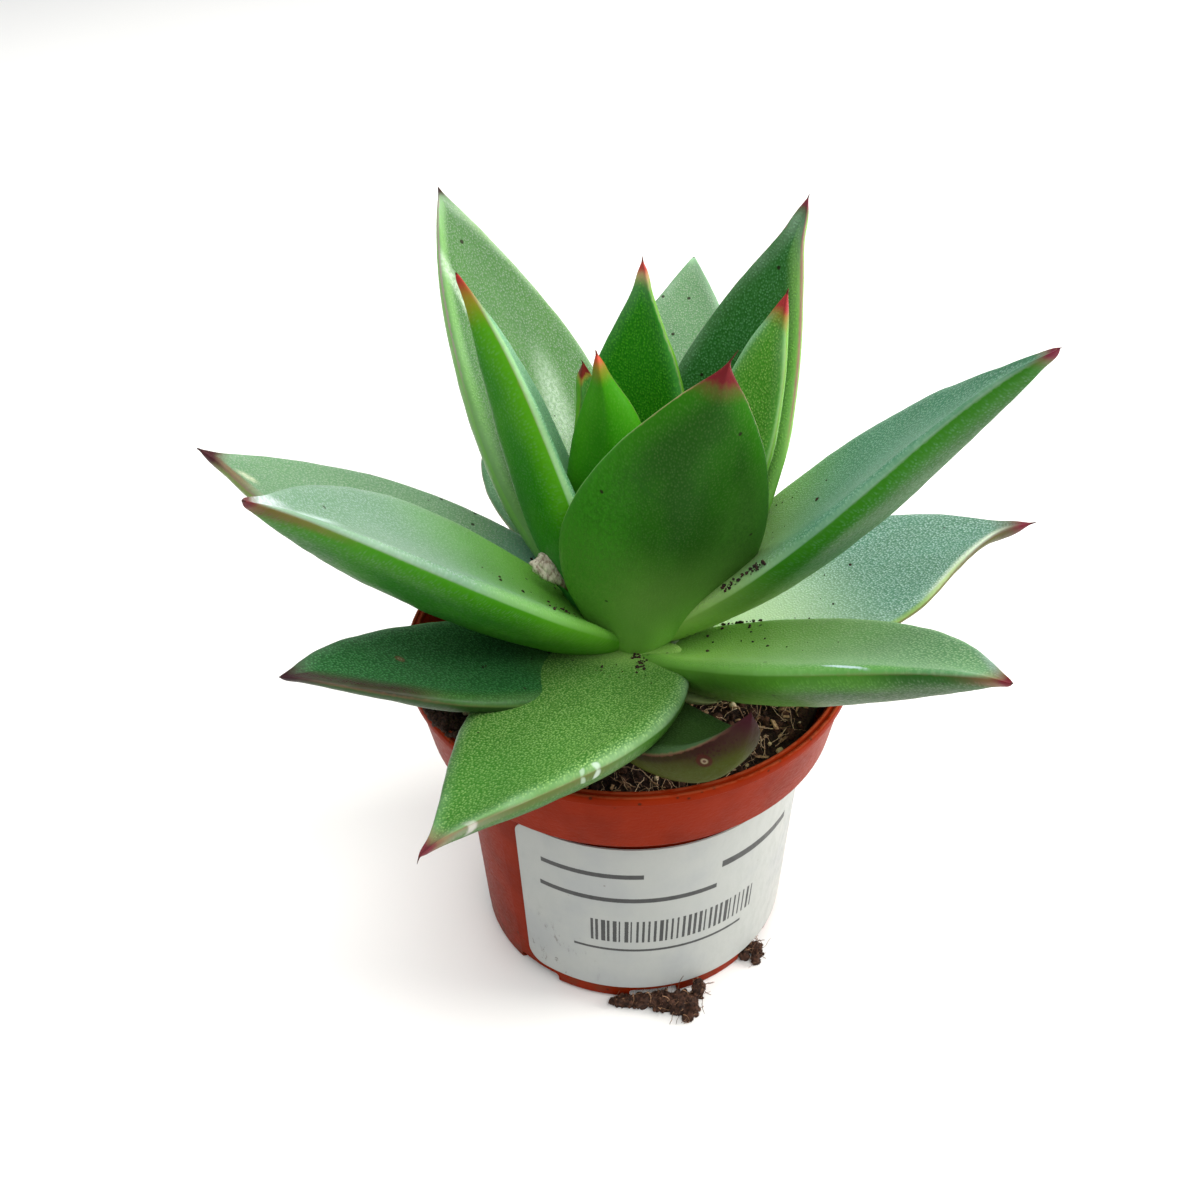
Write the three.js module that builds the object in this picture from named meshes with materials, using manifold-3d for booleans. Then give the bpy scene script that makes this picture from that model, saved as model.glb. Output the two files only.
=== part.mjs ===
// A young ebony echeveria in its 6 cm nursery pot, in millimetres with +Z up.
// The foot of the pot stands on z = 0 and its axis is x = y = 0. The front of the plant is -Y.
// Each leaf is one solid that starts at the short stem, kept a hair's breadth from its neighbours.
import * as THREE from "three";
import Module from "manifold-3d";
import { mergeVertices } from "three/addons/utils/BufferGeometryUtils.js";

const GAP = 0.3; // clearance between two pieces that touch on the real plant

// Pot
const POT_HEIGHT = 50;
const POT_WALL = 1.1;
const FLOOR_THICKNESS = 1.2;
const FOOT_RADIUS = 22.5;
const BODY_TOP_RADIUS = 24.4;
const COLLAR_FOOT = 39; // height at which the collar steps out from the body
const COLLAR_FOOT_RADIUS = 27.7;
const LIP_FOOT = 48.4;
const RIM_RADIUS = 30;
const LEDGE_RADIUS = 28.2; // the small step inside the rim
const ROUND_SEGMENTS = 64;
const DRAIN_COUNT = 8;
const DRAIN_FIRST = 276; // azimuth of the drain the front clod hangs from, in degrees
const DRAIN_WIDTH = 7;
const DRAIN_HEIGHT = 2.2;
const DRAIN_INNER = 19; // the drains cut the corner of the floor from here outwards

// Clods: the drain that each hangs from, how far to the side of it, and its half sizes, which are
// given outwards, sideways and upwards
const CLODS = [
  { name: "clod_front", drain: 0, sideways: 0.6, half: [3, 6.8, 1.7] },
  { name: "clod_right", drain: 1, sideways: -1.8, half: [1.8, 2, 1.4] },
];
const CLOD_LIFT = 0.2; // the clods hang this far clear of the ground

// Soil and stem
const SOIL_LEVEL = 45.4;
const SOIL_BUMP = 0.5;
const STEM_RADIUS = 4.5;
const STEM_FOOT = 40;
const STEM_TOP = 56.6;

// Label: azimuths are measured from the front of the pot, to the right of the viewer
const LABEL_FROM = -41;
const LABEL_TO = 72;
const LABEL_FOOT = 2.9;
const LABEL_TOP = 35;
const LABEL_TILT = 2.5; // how far its right end hangs down, in degrees
const LABEL_CORNER = 2.6;
const LABEL_THICKNESS = 0.35;
const LABEL_LIFT = 0.12;

// Dried leaf foot, from where it leaves the stem to its torn end
const DRY_STUB_FOOT = [-5.6, -6.2, 60.4];
const DRY_STUB_TIP = [-11.2, -6.9, 67.2];

// Leaf sections
const STATIONS = 12;
const TOP_POINTS = 7;
const KEEL_POINTS = 5;
const SPACING = 1.35; // above 1 brings the stations closer together towards the tip
const SHOULDER = 0.22; // share of the half width that rounds off at each margin
const DROP_SHARE = 0.18; // share of the thickness by which the upper face falls over its shoulders
const KEEL_SHARE = 0.84; // share of it that hangs below the margins
const EDGE_SHARE = 0.2; // the part of that share that the rounded margins take
const KEEL_POWER = 1.35; // 2 is a round underside, 1 a sharp keel
const POINT_SLOPE = 0.4; // half width of the fine point at the tip for each millimetre of its length

// Leaves from the lowest to the heart. Lengths are in millimetres and angles in degrees.
// azimuth: where the leaf leaves the stem, 270 is the front. height, reach, offset: where it starts.
// rise: its slope at the start. curl, swing: how far it bends up and sideways along its whole length.
// flick, hook: the same bends in its last part only. roll: its turn about its own length.
// belly: where it is widest, as a share of its length. heel: its width at the stem, as a share.
// taper: above 1 draws the body out, below 1 ends it bluntly. point: length of the fine point on it.
// cup: how hollow the upper face is.
const LEAVES = [
  {
    name: "leaf_stub_front", length: 15, width: 9, thickness: 4.5,
    azimuth: 306, height: 49.5, reach: 4, offset: 0,
    rise: 8, curl: 0, flick: 0, swing: 0, hook: 0, roll: 0,
    belly: 0.4, heel: 0.8, taper: 0.5, point: 0, cup: 0.05,
  },
  {
    name: "leaf_small_front", length: 39, width: 14.5, thickness: 7.5,
    azimuth: 293, height: 51.5, reach: 2.5, offset: -7.5,
    rise: -3, curl: 43, flick: 48, swing: 9, hook: -10, roll: -15,
    belly: 0.6, heel: 0.5, taper: 0.85, point: 0.5, cup: 0.05,
  },
  {
    name: "leaf_low_left", length: 52.5, width: 16.5, thickness: 6.5,
    azimuth: 223, height: 50.5, reach: 4, offset: 0.5,
    rise: 22, curl: 13, flick: -8, swing: -6, hook: 12, roll: -10,
    belly: 0.4, heel: 0.5, taper: 0.75, point: 1.5, cup: 0.15,
  },
  {
    name: "leaf_low_front", length: 52.5, width: 24, thickness: 9,
    azimuth: 252, height: 52.5, reach: 4, offset: 2,
    rise: 19, curl: -7, flick: -10, swing: -19, hook: 0, roll: 7,
    belly: 0.4, heel: 0.5, taper: 1.15, point: 1, cup: 0.15,
  },
  {
    name: "leaf_flat_right", length: 51, width: 29, thickness: 6.5,
    azimuth: 7, height: 52, reach: 4, offset: -1,
    rise: 4, curl: 21, flick: -12, swing: 6, hook: -33, roll: -7,
    belly: 0.45, heel: 0.5, taper: 0.95, point: 3, cup: 0.15,
  },
  {
    name: "leaf_far_left", length: 55, width: 23, thickness: 10,
    azimuth: 170, height: 53.5, reach: 4, offset: 0,
    rise: 22, curl: 7, flick: 6, swing: 12, hook: 3, roll: 7,
    belly: 0.45, heel: 0.5, taper: 0.75, point: 2, cup: 0.15,
  },
  {
    name: "leaf_front_right", length: 60, width: 17.5, thickness: 9,
    azimuth: 318, height: 51, reach: 4, offset: -2,
    rise: 30, curl: -3, flick: -4, swing: -8, hook: -21, roll: -10,
    belly: 0.45, heel: 0.45, taper: 1, point: 1.2, cup: 0.2,
  },
  {
    name: "leaf_low_back", length: 49.5, width: 18.5, thickness: 6,
    azimuth: 112, height: 53.5, reach: 4, offset: 0,
    rise: 7, curl: -16, flick: -10, swing: 1, hook: 1, roll: 13,
    belly: 0.45, heel: 0.5, taper: 0.9, point: 2, cup: 0.15,
  },
  {
    name: "leaf_low_back_right", length: 50, width: 20, thickness: 6.5,
    azimuth: 64, height: 52.5, reach: 4, offset: 0,
    rise: 8, curl: -3, flick: -3, swing: 0, hook: 0, roll: 0,
    belly: 0.45, heel: 0.5, taper: 0.9, point: 2, cup: 0.15,
  },
  {
    name: "leaf_back", length: 56, width: 22.5, thickness: 7,
    azimuth: 77, height: 53, reach: 4, offset: -0.5,
    rise: 29, curl: 3, flick: -3, swing: 1, hook: 0, roll: -3,
    belly: 0.45, heel: 0.5, taper: 0.95, point: 0, cup: 0.15,
  },
  {
    name: "leaf_front_left", length: 71.5, width: 21.5, thickness: 9.5,
    azimuth: 213, height: 53, reach: 3, offset: 1.5,
    rise: 48, curl: -7, flick: 4, swing: 23, hook: 11, roll: 0,
    belly: 0.4, heel: 0.35, taper: 1.2, point: 1.5, cup: 0.25,
  },
  {
    name: "leaf_long_right", length: 69, width: 20.5, thickness: 8.5,
    azimuth: 338, height: 54, reach: 3.5, offset: -0.5,
    rise: 49, curl: 4, flick: -3, swing: -12, hook: -20, roll: 1,
    belly: 0.4, heel: 0.5, taper: 1.5, point: 1.5, cup: 0.2,
  },
  {
    name: "leaf_tall_back_left", length: 59.5, width: 25.5, thickness: 11,
    azimuth: 116, height: 54, reach: 3.5, offset: 0,
    rise: 50, curl: -8, flick: 7, swing: 12, hook: -6, roll: 23,
    belly: 0.35, heel: 0.55, taper: 0.85, point: 0.8, cup: 0.3,
  },
  {
    name: "leaf_tall_back_right", length: 55.5, width: 20.5, thickness: 7.5,
    azimuth: 23, height: 55, reach: 3, offset: -1,
    rise: 68, curl: 7, flick: -2, swing: 0, hook: -2, roll: 23,
    belly: 0.35, heel: 0.5, taper: 0.9, point: 2.5, cup: 0.3,
  },
  {
    name: "leaf_front_upright", length: 51.5, width: 24, thickness: 8,
    azimuth: 285, height: 51.5, reach: 3, offset: -0.5,
    rise: 69, curl: 7, flick: 3, swing: 12, hook: -4, roll: -16,
    belly: 0.45, heel: 0.3, taper: 0.8, point: 1.2, cup: 0.15,
  },
  {
    name: "leaf_inner_left", length: 49.5, width: 16, thickness: 8,
    azimuth: 199, height: 55.5, reach: 3, offset: 1,
    rise: 79, curl: -13, flick: -10, swing: -15, hook: -13, roll: -12,
    belly: 0.35, heel: 0.5, taper: 1.35, point: 1.2, cup: 0.15,
  },
  {
    name: "leaf_inner_right", length: 44.5, width: 10, thickness: 6,
    azimuth: 350, height: 58.5, reach: 2, offset: -2,
    rise: 53, curl: 19, flick: -16, swing: 34, hook: -11, roll: 47,
    belly: 0.55, heel: 0.5, taper: 0.55, point: 3, cup: 0.15,
  },
  {
    name: "leaf_inner_back", length: 44.5, width: 16, thickness: 6.5,
    azimuth: 62, height: 57.5, reach: 2, offset: 0.5,
    rise: 87, curl: 3, flick: -1, swing: -4, hook: 3, roll: -7,
    belly: 0.45, heel: 0.5, taper: 0.95, point: 2, cup: 0.15,
  },
  {
    name: "leaf_heart_left", length: 34, width: 11, thickness: 3.5,
    azimuth: 150, height: 57.5, reach: 0.5, offset: 1,
    rise: 81, curl: 7, flick: 1, swing: 4, hook: 2, roll: -15,
    belly: 0.45, heel: 0.5, taper: 0.9, point: 3, cup: 0.15,
  },
  {
    name: "leaf_heart_front", length: 38, width: 11.5, thickness: 6,
    azimuth: 252, height: 58, reach: 2, offset: -0.5,
    rise: 82, curl: 1, flick: -3, swing: 0, hook: -7, roll: 17,
    belly: 0.45, heel: 0.5, taper: 0.8, point: 2, cup: 0.15,
  },
  {
    name: "leaf_heart_right", length: 27, width: 8, thickness: 3.5,
    azimuth: 300, height: 58.5, reach: 0, offset: 0,
    rise: 88, curl: 4, flick: 0, swing: 0, hook: 0, roll: 0,
    belly: 0.45, heel: 0.5, taper: 0.9, point: 2.5, cup: 0.15,
  },
  {
    name: "leaf_bud", length: 20, width: 5.5, thickness: 2.6,
    azimuth: 320, height: 58.5, reach: 4, offset: -1,
    rise: 80, curl: 3, flick: 0, swing: 0, hook: 0, roll: 0,
    belly: 0.4, heel: 0.5, taper: 0.9, point: 2, cup: 0.15,
  },
];

const wasm = await Module();
wasm.setup();

const radians = THREE.MathUtils.degToRad;
const clamp01 = (value) => Math.min(1, Math.max(0, value));
const quarterSine = (share) => Math.sin((Math.PI / 2) * clamp01(share));
const quarterCosine = (share) => Math.cos((Math.PI / 2) * clamp01(share));

// The solid that a closed geometry bounds.
function solidOf(geometry) {
  const plain = new THREE.BufferGeometry();
  plain.setAttribute("position", geometry.getAttribute("position"));
  if (geometry.index) plain.setIndex(geometry.index);
  const merged = mergeVertices(plain, 1e-4);
  return new wasm.Manifold(
    new wasm.Mesh({
      numProp: 3,
      vertProperties: merged.attributes.position.array,
      triVerts: new Uint32Array(merged.index.array),
    }),
  );
}

// A solid as a named mesh of triangles.
function meshOf(name, solid, material) {
  const data = solid.getMesh();
  const positions = new Float32Array(data.numVert * 3);
  for (let i = 0; i < data.numVert; i++) {
    positions.set(data.vertProperties.subarray(i * data.numProp, i * data.numProp + 3), i * 3);
  }
  const geometry = new THREE.BufferGeometry();
  geometry.setAttribute("position", new THREE.BufferAttribute(positions, 3));
  geometry.setIndex(new THREE.BufferAttribute(new Uint32Array(data.triVerts), 1));
  geometry.computeVertexNormals();
  const mesh = new THREE.Mesh(geometry, material);
  mesh.name = name;
  return mesh;
}

function largestBody(solid) {
  return solid.decompose().sort((a, b) => b.volume() - a.volume())[0];
}

// A solid of revolution about +Z from [radius, height] pairs listed upwards along the outside.
function turned(profile, segments = ROUND_SEGMENTS) {
  const points = profile.map(([radius, height]) => new THREE.Vector2(radius, height));
  const geometry = new THREE.LatheGeometry(points, segments);
  geometry.rotateX(Math.PI / 2);
  return solidOf(geometry);
}

// Outer radius of the pot's tapered body at a height.
function bodyRadius(height) {
  return FOOT_RADIUS + ((BODY_TOP_RADIUS - FOOT_RADIUS) * height) / COLLAR_FOOT;
}

// The pot, or with grow a copy that stands clear of it all round.
function potSolid(grow = 0) {
  const wall = POT_WALL + grow;
  const floor = FLOOR_THICKNESS + grow;
  const shell = turned([
    [0, -grow],
    [FOOT_RADIUS - 0.8 + grow, -grow],
    [FOOT_RADIUS + grow, 0.8 - grow],
    [bodyRadius(COLLAR_FOOT) + grow, COLLAR_FOOT - grow],
    [COLLAR_FOOT_RADIUS + grow, COLLAR_FOOT - grow],
    [RIM_RADIUS - 0.5 + grow, LIP_FOOT - grow],
    [RIM_RADIUS + grow, LIP_FOOT + 0.3 - grow],
    [RIM_RADIUS + grow, POT_HEIGHT - 0.3 + grow],
    [RIM_RADIUS - 0.3 + grow, POT_HEIGHT + grow],
    [RIM_RADIUS - 0.7 - grow, POT_HEIGHT + grow],
    [RIM_RADIUS - 0.9 - grow, LIP_FOOT + 0.8 + grow],
    [LEDGE_RADIUS - grow, LIP_FOOT + 0.5 + grow],
    [COLLAR_FOOT_RADIUS - wall, COLLAR_FOOT + wall],
    [bodyRadius(COLLAR_FOOT) - wall, COLLAR_FOOT + grow],
    [bodyRadius(floor) - wall, floor],
    [0, floor],
  ]);
  const drains = [];
  for (let i = 0; i < DRAIN_COUNT; i++) {
    const cut = new THREE.BoxGeometry(8, DRAIN_WIDTH - 2 * grow, 2 * (DRAIN_HEIGHT - grow));
    cut.translate(DRAIN_INNER + grow + 4, 0, 0);
    cut.rotateZ(radians(DRAIN_FIRST + (360 / DRAIN_COUNT) * i));
    drains.push(solidOf(cut));
  }
  return drains.reduce((pot, drain) => pot.subtract(drain), shell);
}

// Height of the crumbly soil surface; the bumps fade out towards the pot.
function soilHeight(x, y) {
  const reach = 1 - clamp01(Math.hypot(x, y) / 26);
  const lumps = Math.sin(0.61 * x + 1.3) * Math.cos(0.53 * y - 0.4);
  const crumbs = Math.sin(1.37 * x - 0.83 * y) * Math.cos(1.11 * y + 0.47 * x);
  return SOIL_LEVEL + SOIL_BUMP * (0.6 * lumps + 0.4 * crumbs) + 0.5 * reach;
}

// The soil that fills the pot, with a pocket for the stem.
function soilSolid() {
  const inner = (height) => bodyRadius(height) - POT_WALL - GAP;
  const collarInner = COLLAR_FOOT_RADIUS - POT_WALL - GAP;
  const sides = [
    [inner(2) - 0.5, FLOOR_THICKNESS + GAP],
    [inner(2), FLOOR_THICKNESS + GAP + 0.6],
    [inner(COLLAR_FOOT - 1), COLLAR_FOOT - 1],
    [inner(COLLAR_FOOT - 1), COLLAR_FOOT + POT_WALL + GAP + 0.3],
    [collarInner - 0.6, COLLAR_FOOT + POT_WALL + GAP + 0.6],
  ];
  const rings = [0, 3.4, 7, 10.5, 14, 17.5, 20.8, 23.6, collarInner];
  const turns = 40;
  const positions = [];
  const indices = [];
  const ringOf = (radius, heightAt) => {
    for (let j = 0; j < turns; j++) {
      const angle = (2 * Math.PI * j) / turns;
      const x = radius * Math.cos(angle);
      const y = radius * Math.sin(angle);
      positions.push(x, y, heightAt(x, y));
    }
  };
  sides.forEach(([radius, height]) => ringOf(radius, () => height));
  rings.slice(1).reverse().forEach((radius) => ringOf(radius, soilHeight));
  const ringCount = sides.length + rings.length - 1;
  for (let k = 0; k < ringCount - 1; k++) {
    for (let j = 0; j < turns; j++) {
      const a = k * turns + j;
      const b = k * turns + ((j + 1) % turns);
      indices.push(a, b, b + turns, a, b + turns, a + turns);
    }
  }
  const crown = positions.length / 3;
  positions.push(0, 0, soilHeight(0, 0), 0, 0, FLOOR_THICKNESS + GAP);
  for (let j = 0; j < turns; j++) {
    const next = (j + 1) % turns;
    indices.push((ringCount - 1) * turns + j, (ringCount - 1) * turns + next, crown);
    indices.push(next, j, crown + 1);
  }
  const geometry = new THREE.BufferGeometry();
  geometry.setAttribute("position", new THREE.Float32BufferAttribute(positions, 3));
  geometry.setIndex(indices);
  return solidOf(geometry);
}

// The short woody stem that the leaves sit on.
function stemSolid(grow = 0) {
  return turned(
    [
      [0, STEM_FOOT - grow],
      [STEM_RADIUS - 1.5 + grow, STEM_FOOT - grow],
      [STEM_RADIUS + grow, STEM_FOOT + 4],
      [STEM_RADIUS + grow, STEM_TOP - 3 + grow],
      [STEM_RADIUS - 1.6 + grow, STEM_TOP - 0.6 + grow],
      [0, STEM_TOP + grow],
    ],
    24,
  );
}

// Where a share of a leaf's length lies in its body, from 0 at the root to 1 where the fine point starts.
const bodyShare = (leaf, share) => clamp01(share / (1 - leaf.point / leaf.length));

// Half the width of the fine point, which keeps its full width behind its start.
const pointRadius = (leaf, share) => POINT_SLOPE * Math.min(leaf.point, (1 - share) * leaf.length);

// Half the width of a leaf at a share of its length.
function halfWidth(leaf, share) {
  const along = bodyShare(leaf, share);
  const widening = leaf.heel + (1 - leaf.heel) * quarterSine(along / leaf.belly);
  const narrowing = quarterCosine((along - leaf.belly) / (1 - leaf.belly)) ** leaf.taper;
  const body = 0.5 * leaf.width * (along < leaf.belly ? widening : narrowing);
  return Math.cbrt(body ** 3 + pointRadius(leaf, share) ** 3);
}

// Thickness of a leaf at a share of its length.
function depth(leaf, share) {
  const along = bodyShare(leaf, share);
  const swelling = 0.62 + 0.38 * quarterSine(along / 0.35);
  const thinning = quarterCosine((along - 0.35) / 0.65) ** 0.75;
  const body = leaf.thickness * (along < 0.35 ? swelling : thinning);
  return Math.cbrt(body ** 3 + (2 * pointRadius(leaf, share)) ** 3);
}

// How far the rounding of the margins has risen at a place across a leaf, from 0 at the margin to 1.
function shoulder(across) {
  const into = clamp01((Math.abs(across) - 1 + SHOULDER) / SHOULDER);
  return Math.sqrt(1 - into * into);
}

// Direction of a leaf's midline at a share of its length, before the leaf is set on the stem.
function heading(leaf, share) {
  const late = clamp01((share - 0.6) / 0.4) ** 1.5;
  const climb = radians(leaf.curl * share + leaf.flick * late);
  const turn = radians(leaf.swing * share + leaf.hook * late);
  return {
    along: new THREE.Vector3(
      Math.cos(climb) * Math.cos(turn),
      Math.cos(climb) * Math.sin(turn),
      Math.sin(climb),
    ),
    across: new THREE.Vector3(-Math.sin(turn), Math.cos(turn), 0),
  };
}

// Points on the midline at each station, and the tip.
function midline(leaf, shares) {
  const steps = 120;
  const path = [new THREE.Vector3()];
  for (let i = 0; i < steps; i++) {
    const step = heading(leaf, (i + 0.5) / steps).along.multiplyScalar(leaf.length / steps);
    path.push(path[i].clone().add(step));
  }
  return shares.map((share) => {
    const at = Math.min(share * steps, steps - 1e-9);
    const whole = Math.floor(at);
    return path[whole].clone().lerp(path[whole + 1], at - whole);
  });
}

// One round of a leaf's outline: the upper face from one margin to the other, then the keel.
function sectionPoints(leaf, share, grow) {
  const half = halfWidth(leaf, share) + grow;
  const thick = depth(leaf, share);
  const round = [];
  for (let i = 0; i < TOP_POINTS; i++) {
    const u = Math.cos((Math.PI * i) / (TOP_POINTS - 1));
    const inside = Math.max(0, 1 - u * u);
    const crown = thick * (DROP_SHARE * shoulder(u) - leaf.cup * inside);
    round.push([half * u, crown + (inside > 1e-9 ? grow : 0)]);
  }
  for (let i = 1; i <= KEEL_POINTS; i++) {
    const u = -Math.cos((Math.PI * i) / (KEEL_POINTS + 1));
    const keel = (KEEL_SHARE - EDGE_SHARE) * (1 - Math.abs(u) ** KEEL_POWER) + EDGE_SHARE * shoulder(u);
    round.push([half * u, -thick * keel - grow]);
  }
  return round;
}

// A whole leaf, or with grow a copy that stands clear of it all round.
function leafSolid(leaf, grow = 0) {
  const shares = [];
  for (let k = 0; k <= STATIONS; k++) {
    shares.push(1 - (1 - k / STATIONS) ** SPACING);
  }
  const line = midline(leaf, shares);
  const positions = [];
  const indices = [];
  const around = TOP_POINTS + KEEL_POINTS;
  for (let k = 0; k < STATIONS; k++) {
    const { along, across } = heading(leaf, shares[k]);
    const upward = along.clone().cross(across);
    sectionPoints(leaf, shares[k], grow).forEach(([side, lift]) => {
      const point = line[k].clone().addScaledVector(across, side).addScaledVector(upward, lift);
      positions.push(point.x, point.y, point.z);
    });
  }
  const tip = line[STATIONS].clone().addScaledVector(heading(leaf, 1).along, 3 * grow);
  positions.push(tip.x, tip.y, tip.z);
  for (let k = 0; k < STATIONS - 1; k++) {
    for (let j = 0; j < around; j++) {
      const a = k * around + j;
      const b = k * around + ((j + 1) % around);
      indices.push(a, b, b + around, a, b + around, a + around);
    }
  }
  const last = (STATIONS - 1) * around;
  for (let j = 0; j < around; j++) {
    indices.push(last + j, last + ((j + 1) % around), STATIONS * around);
  }
  for (let j = 1; j < around - 1; j++) {
    indices.push(0, j + 1, j);
  }
  const geometry = new THREE.BufferGeometry();
  geometry.setAttribute("position", new THREE.Float32BufferAttribute(positions, 3));
  geometry.setIndex(indices);
  geometry.rotateX(radians(leaf.roll));
  geometry.rotateY(radians(-leaf.rise));
  geometry.translate(leaf.reach, leaf.offset, leaf.height);
  geometry.rotateZ(radians(leaf.azimuth));
  return solidOf(geometry);
}

// The paper label: a sheet with rounded corners, a little askew, that follows the cone of the pot's body.
function labelSolid() {
  const columns = 32;
  const halfway = (LABEL_FOOT + LABEL_TOP) / 2;
  const middle = bodyRadius(halfway);
  const halfSpan = (radians(LABEL_TO - LABEL_FROM) * middle) / 2;
  const centre = radians((LABEL_TO + LABEL_FROM) / 2 - 90);
  const tilt = radians(LABEL_TILT);
  const positions = [];
  const indices = [];
  for (let i = 0; i <= columns; i++) {
    const run = halfSpan * Math.sin((Math.PI / 2) * ((2 * i) / columns - 1));
    const intoCorner = Math.max(0, Math.abs(run) - (halfSpan - LABEL_CORNER));
    const trim = LABEL_CORNER - Math.sqrt(Math.max(0.04, LABEL_CORNER ** 2 - intoCorner ** 2));
    const corners = [
      [LABEL_LIFT, LABEL_FOOT + trim],
      [LABEL_LIFT + LABEL_THICKNESS, LABEL_FOOT + trim],
      [LABEL_LIFT + LABEL_THICKNESS, LABEL_TOP - trim],
      [LABEL_LIFT, LABEL_TOP - trim],
    ];
    corners.forEach(([lift, level]) => {
      const rise = level - halfway;
      const height = halfway + rise * Math.cos(tilt) - run * Math.sin(tilt);
      const angle = centre + (run * Math.cos(tilt) + rise * Math.sin(tilt)) / middle;
      const radius = bodyRadius(height) + lift;
      positions.push(radius * Math.cos(angle), radius * Math.sin(angle), height);
    });
  }
  for (let i = 0; i < columns; i++) {
    for (let j = 0; j < 4; j++) {
      const a = i * 4 + j;
      const b = i * 4 + ((j + 1) % 4);
      indices.push(a, b + 4, b, a, a + 4, b + 4);
    }
  }
  const last = columns * 4;
  indices.push(0, 1, 2, 0, 2, 3, last, last + 2, last + 1, last, last + 3, last + 2);
  const geometry = new THREE.BufferGeometry();
  geometry.setAttribute("position", new THREE.Float32BufferAttribute(positions, 3));
  geometry.setIndex(indices);
  return solidOf(geometry);
}

// A clod of roots and soil pressed out through one drain, lying on the ground against the pot.
// It is a ball roughened by waves and drawn out to its half sizes.
function clodSolid({ drain, sideways, half: [outwards, across, upwards] }, keepOut) {
  const ball = new THREE.IcosahedronGeometry(1, 3).deleteAttribute("normal");
  const clod = mergeVertices(ball.deleteAttribute("uv"), 1e-4);
  const at = clod.getAttribute("position");
  for (let i = 0; i < at.count; i++) {
    const p = new THREE.Vector3().fromBufferAttribute(at, i);
    const broad = Math.sin(4.3 * p.y + 2 * drain + 0.6) * Math.cos(2.9 * p.x - 0.7);
    const fine = Math.sin(7.7 * p.x + drain) * Math.cos(8.3 * p.y) * Math.sin(6.1 * p.z + 1);
    p.multiplyScalar(1 + 0.16 * broad + 0.13 * fine);
    at.setXYZ(i, outwards * p.x, across * p.y, upwards * p.z);
  }
  clod.translate(FOOT_RADIUS + outwards - 0.4, sideways, 0.5 * upwards);
  const ground = new THREE.BoxGeometry(60, 60, 10);
  ground.translate(FOOT_RADIUS, 0, CLOD_LIFT - 5);
  const turn = radians(DRAIN_FIRST + (360 / DRAIN_COUNT) * drain);
  clod.rotateZ(turn);
  ground.rotateZ(turn);
  return largestBody(solidOf(clod).subtract(solidOf(ground)).subtract(keepOut));
}

// The shrivelled foot of a leaf that has dried off, a bent cone with a torn end.
function dryStubSolid() {
  const geometry = new THREE.LatheGeometry(
    [
      [0, 0],
      [1.2, 0],
      [1.6, 2],
      [1.4, 4.4],
      [1.7, 6.6],
      [1.5, 8.2],
      [0.8, 9.1],
      [0, 8.8],
    ].map(([radius, height]) => new THREE.Vector2(radius, height)),
    10,
  );
  geometry.rotateX(Math.PI / 2);
  const lean = new THREE.Vector3(...DRY_STUB_TIP).sub(new THREE.Vector3(...DRY_STUB_FOOT));
  const turn = new THREE.Quaternion();
  turn.setFromUnitVectors(new THREE.Vector3(0, 0, 1), lean.normalize());
  geometry.applyQuaternion(turn);
  geometry.translate(...DRY_STUB_FOOT);
  return solidOf(geometry);
}

const leafSkin = new THREE.MeshStandardMaterial({ color: 0x4f9a3c, roughness: 0.42, metalness: 0 });
const heartSkin = new THREE.MeshStandardMaterial({ color: 0x5aab3a, roughness: 0.4, metalness: 0 });
const terracotta = new THREE.MeshStandardMaterial({ color: 0xb9502a, roughness: 0.45, metalness: 0 });
const peat = new THREE.MeshStandardMaterial({ color: 0x2b1d16, roughness: 0.95, metalness: 0 });
const bark = new THREE.MeshStandardMaterial({ color: 0x7c6a45, roughness: 0.9, metalness: 0 });
const straw = new THREE.MeshStandardMaterial({ color: 0xb9ad97, roughness: 0.9, metalness: 0 });
const paper = new THREE.MeshStandardMaterial({ color: 0xd8dcd9, roughness: 0.6, metalness: 0 });

const plant = new THREE.Group();
plant.name = "potted_echeveria";

const pot = potSolid();
const potClear = potSolid(GAP);
const soil = soilSolid().subtract(stemSolid(GAP));
const soilClear = soil.translate([0, 0, GAP]);
const stemClear = stemSolid(GAP);
plant.add(meshOf("pot", pot, terracotta));
plant.add(meshOf("soil", soil, peat));
plant.add(meshOf("stem", stemSolid(), bark));
plant.add(meshOf("label", labelSolid(), paper));

const placed = [];
LEAVES.forEach((leaf) => {
  let solid = leafSolid(leaf).subtract(stemClear).subtract(potClear).subtract(soilClear);
  placed.forEach((clear) => {
    solid = solid.subtract(clear);
  });
  const inHeart = /inner|heart|bud/.test(leaf.name);
  plant.add(meshOf(leaf.name, largestBody(solid), inHeart ? heartSkin : leafSkin));
  placed.push(leafSolid(leaf, GAP));
});

const stub = placed.reduce((sum, clear) => sum.subtract(clear), dryStubSolid().subtract(stemClear));
plant.add(meshOf("dry_stub", largestBody(stub), straw));

CLODS.forEach((clod) => plant.add(meshOf(clod.name, clodSolid(clod, potClear), peat)));

export default plant;
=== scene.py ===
"""A young echeveria in its nursery pot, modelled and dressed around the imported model.

The scene is in metres: +Z runs up the pot's axis and -Y points to the front. The tables of sizes
are in millimetres and degrees, and MM turns them into metres.
"""

import logging
import math
import random
from collections.abc import Callable, Iterable, Iterator
from contextlib import contextmanager
from dataclasses import dataclass, field, replace
from enum import Enum
from functools import partial, reduce
from itertools import accumulate
from typing import Any

import bmesh
import bpy
from mathutils import Euler, Matrix, Vector


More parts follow.
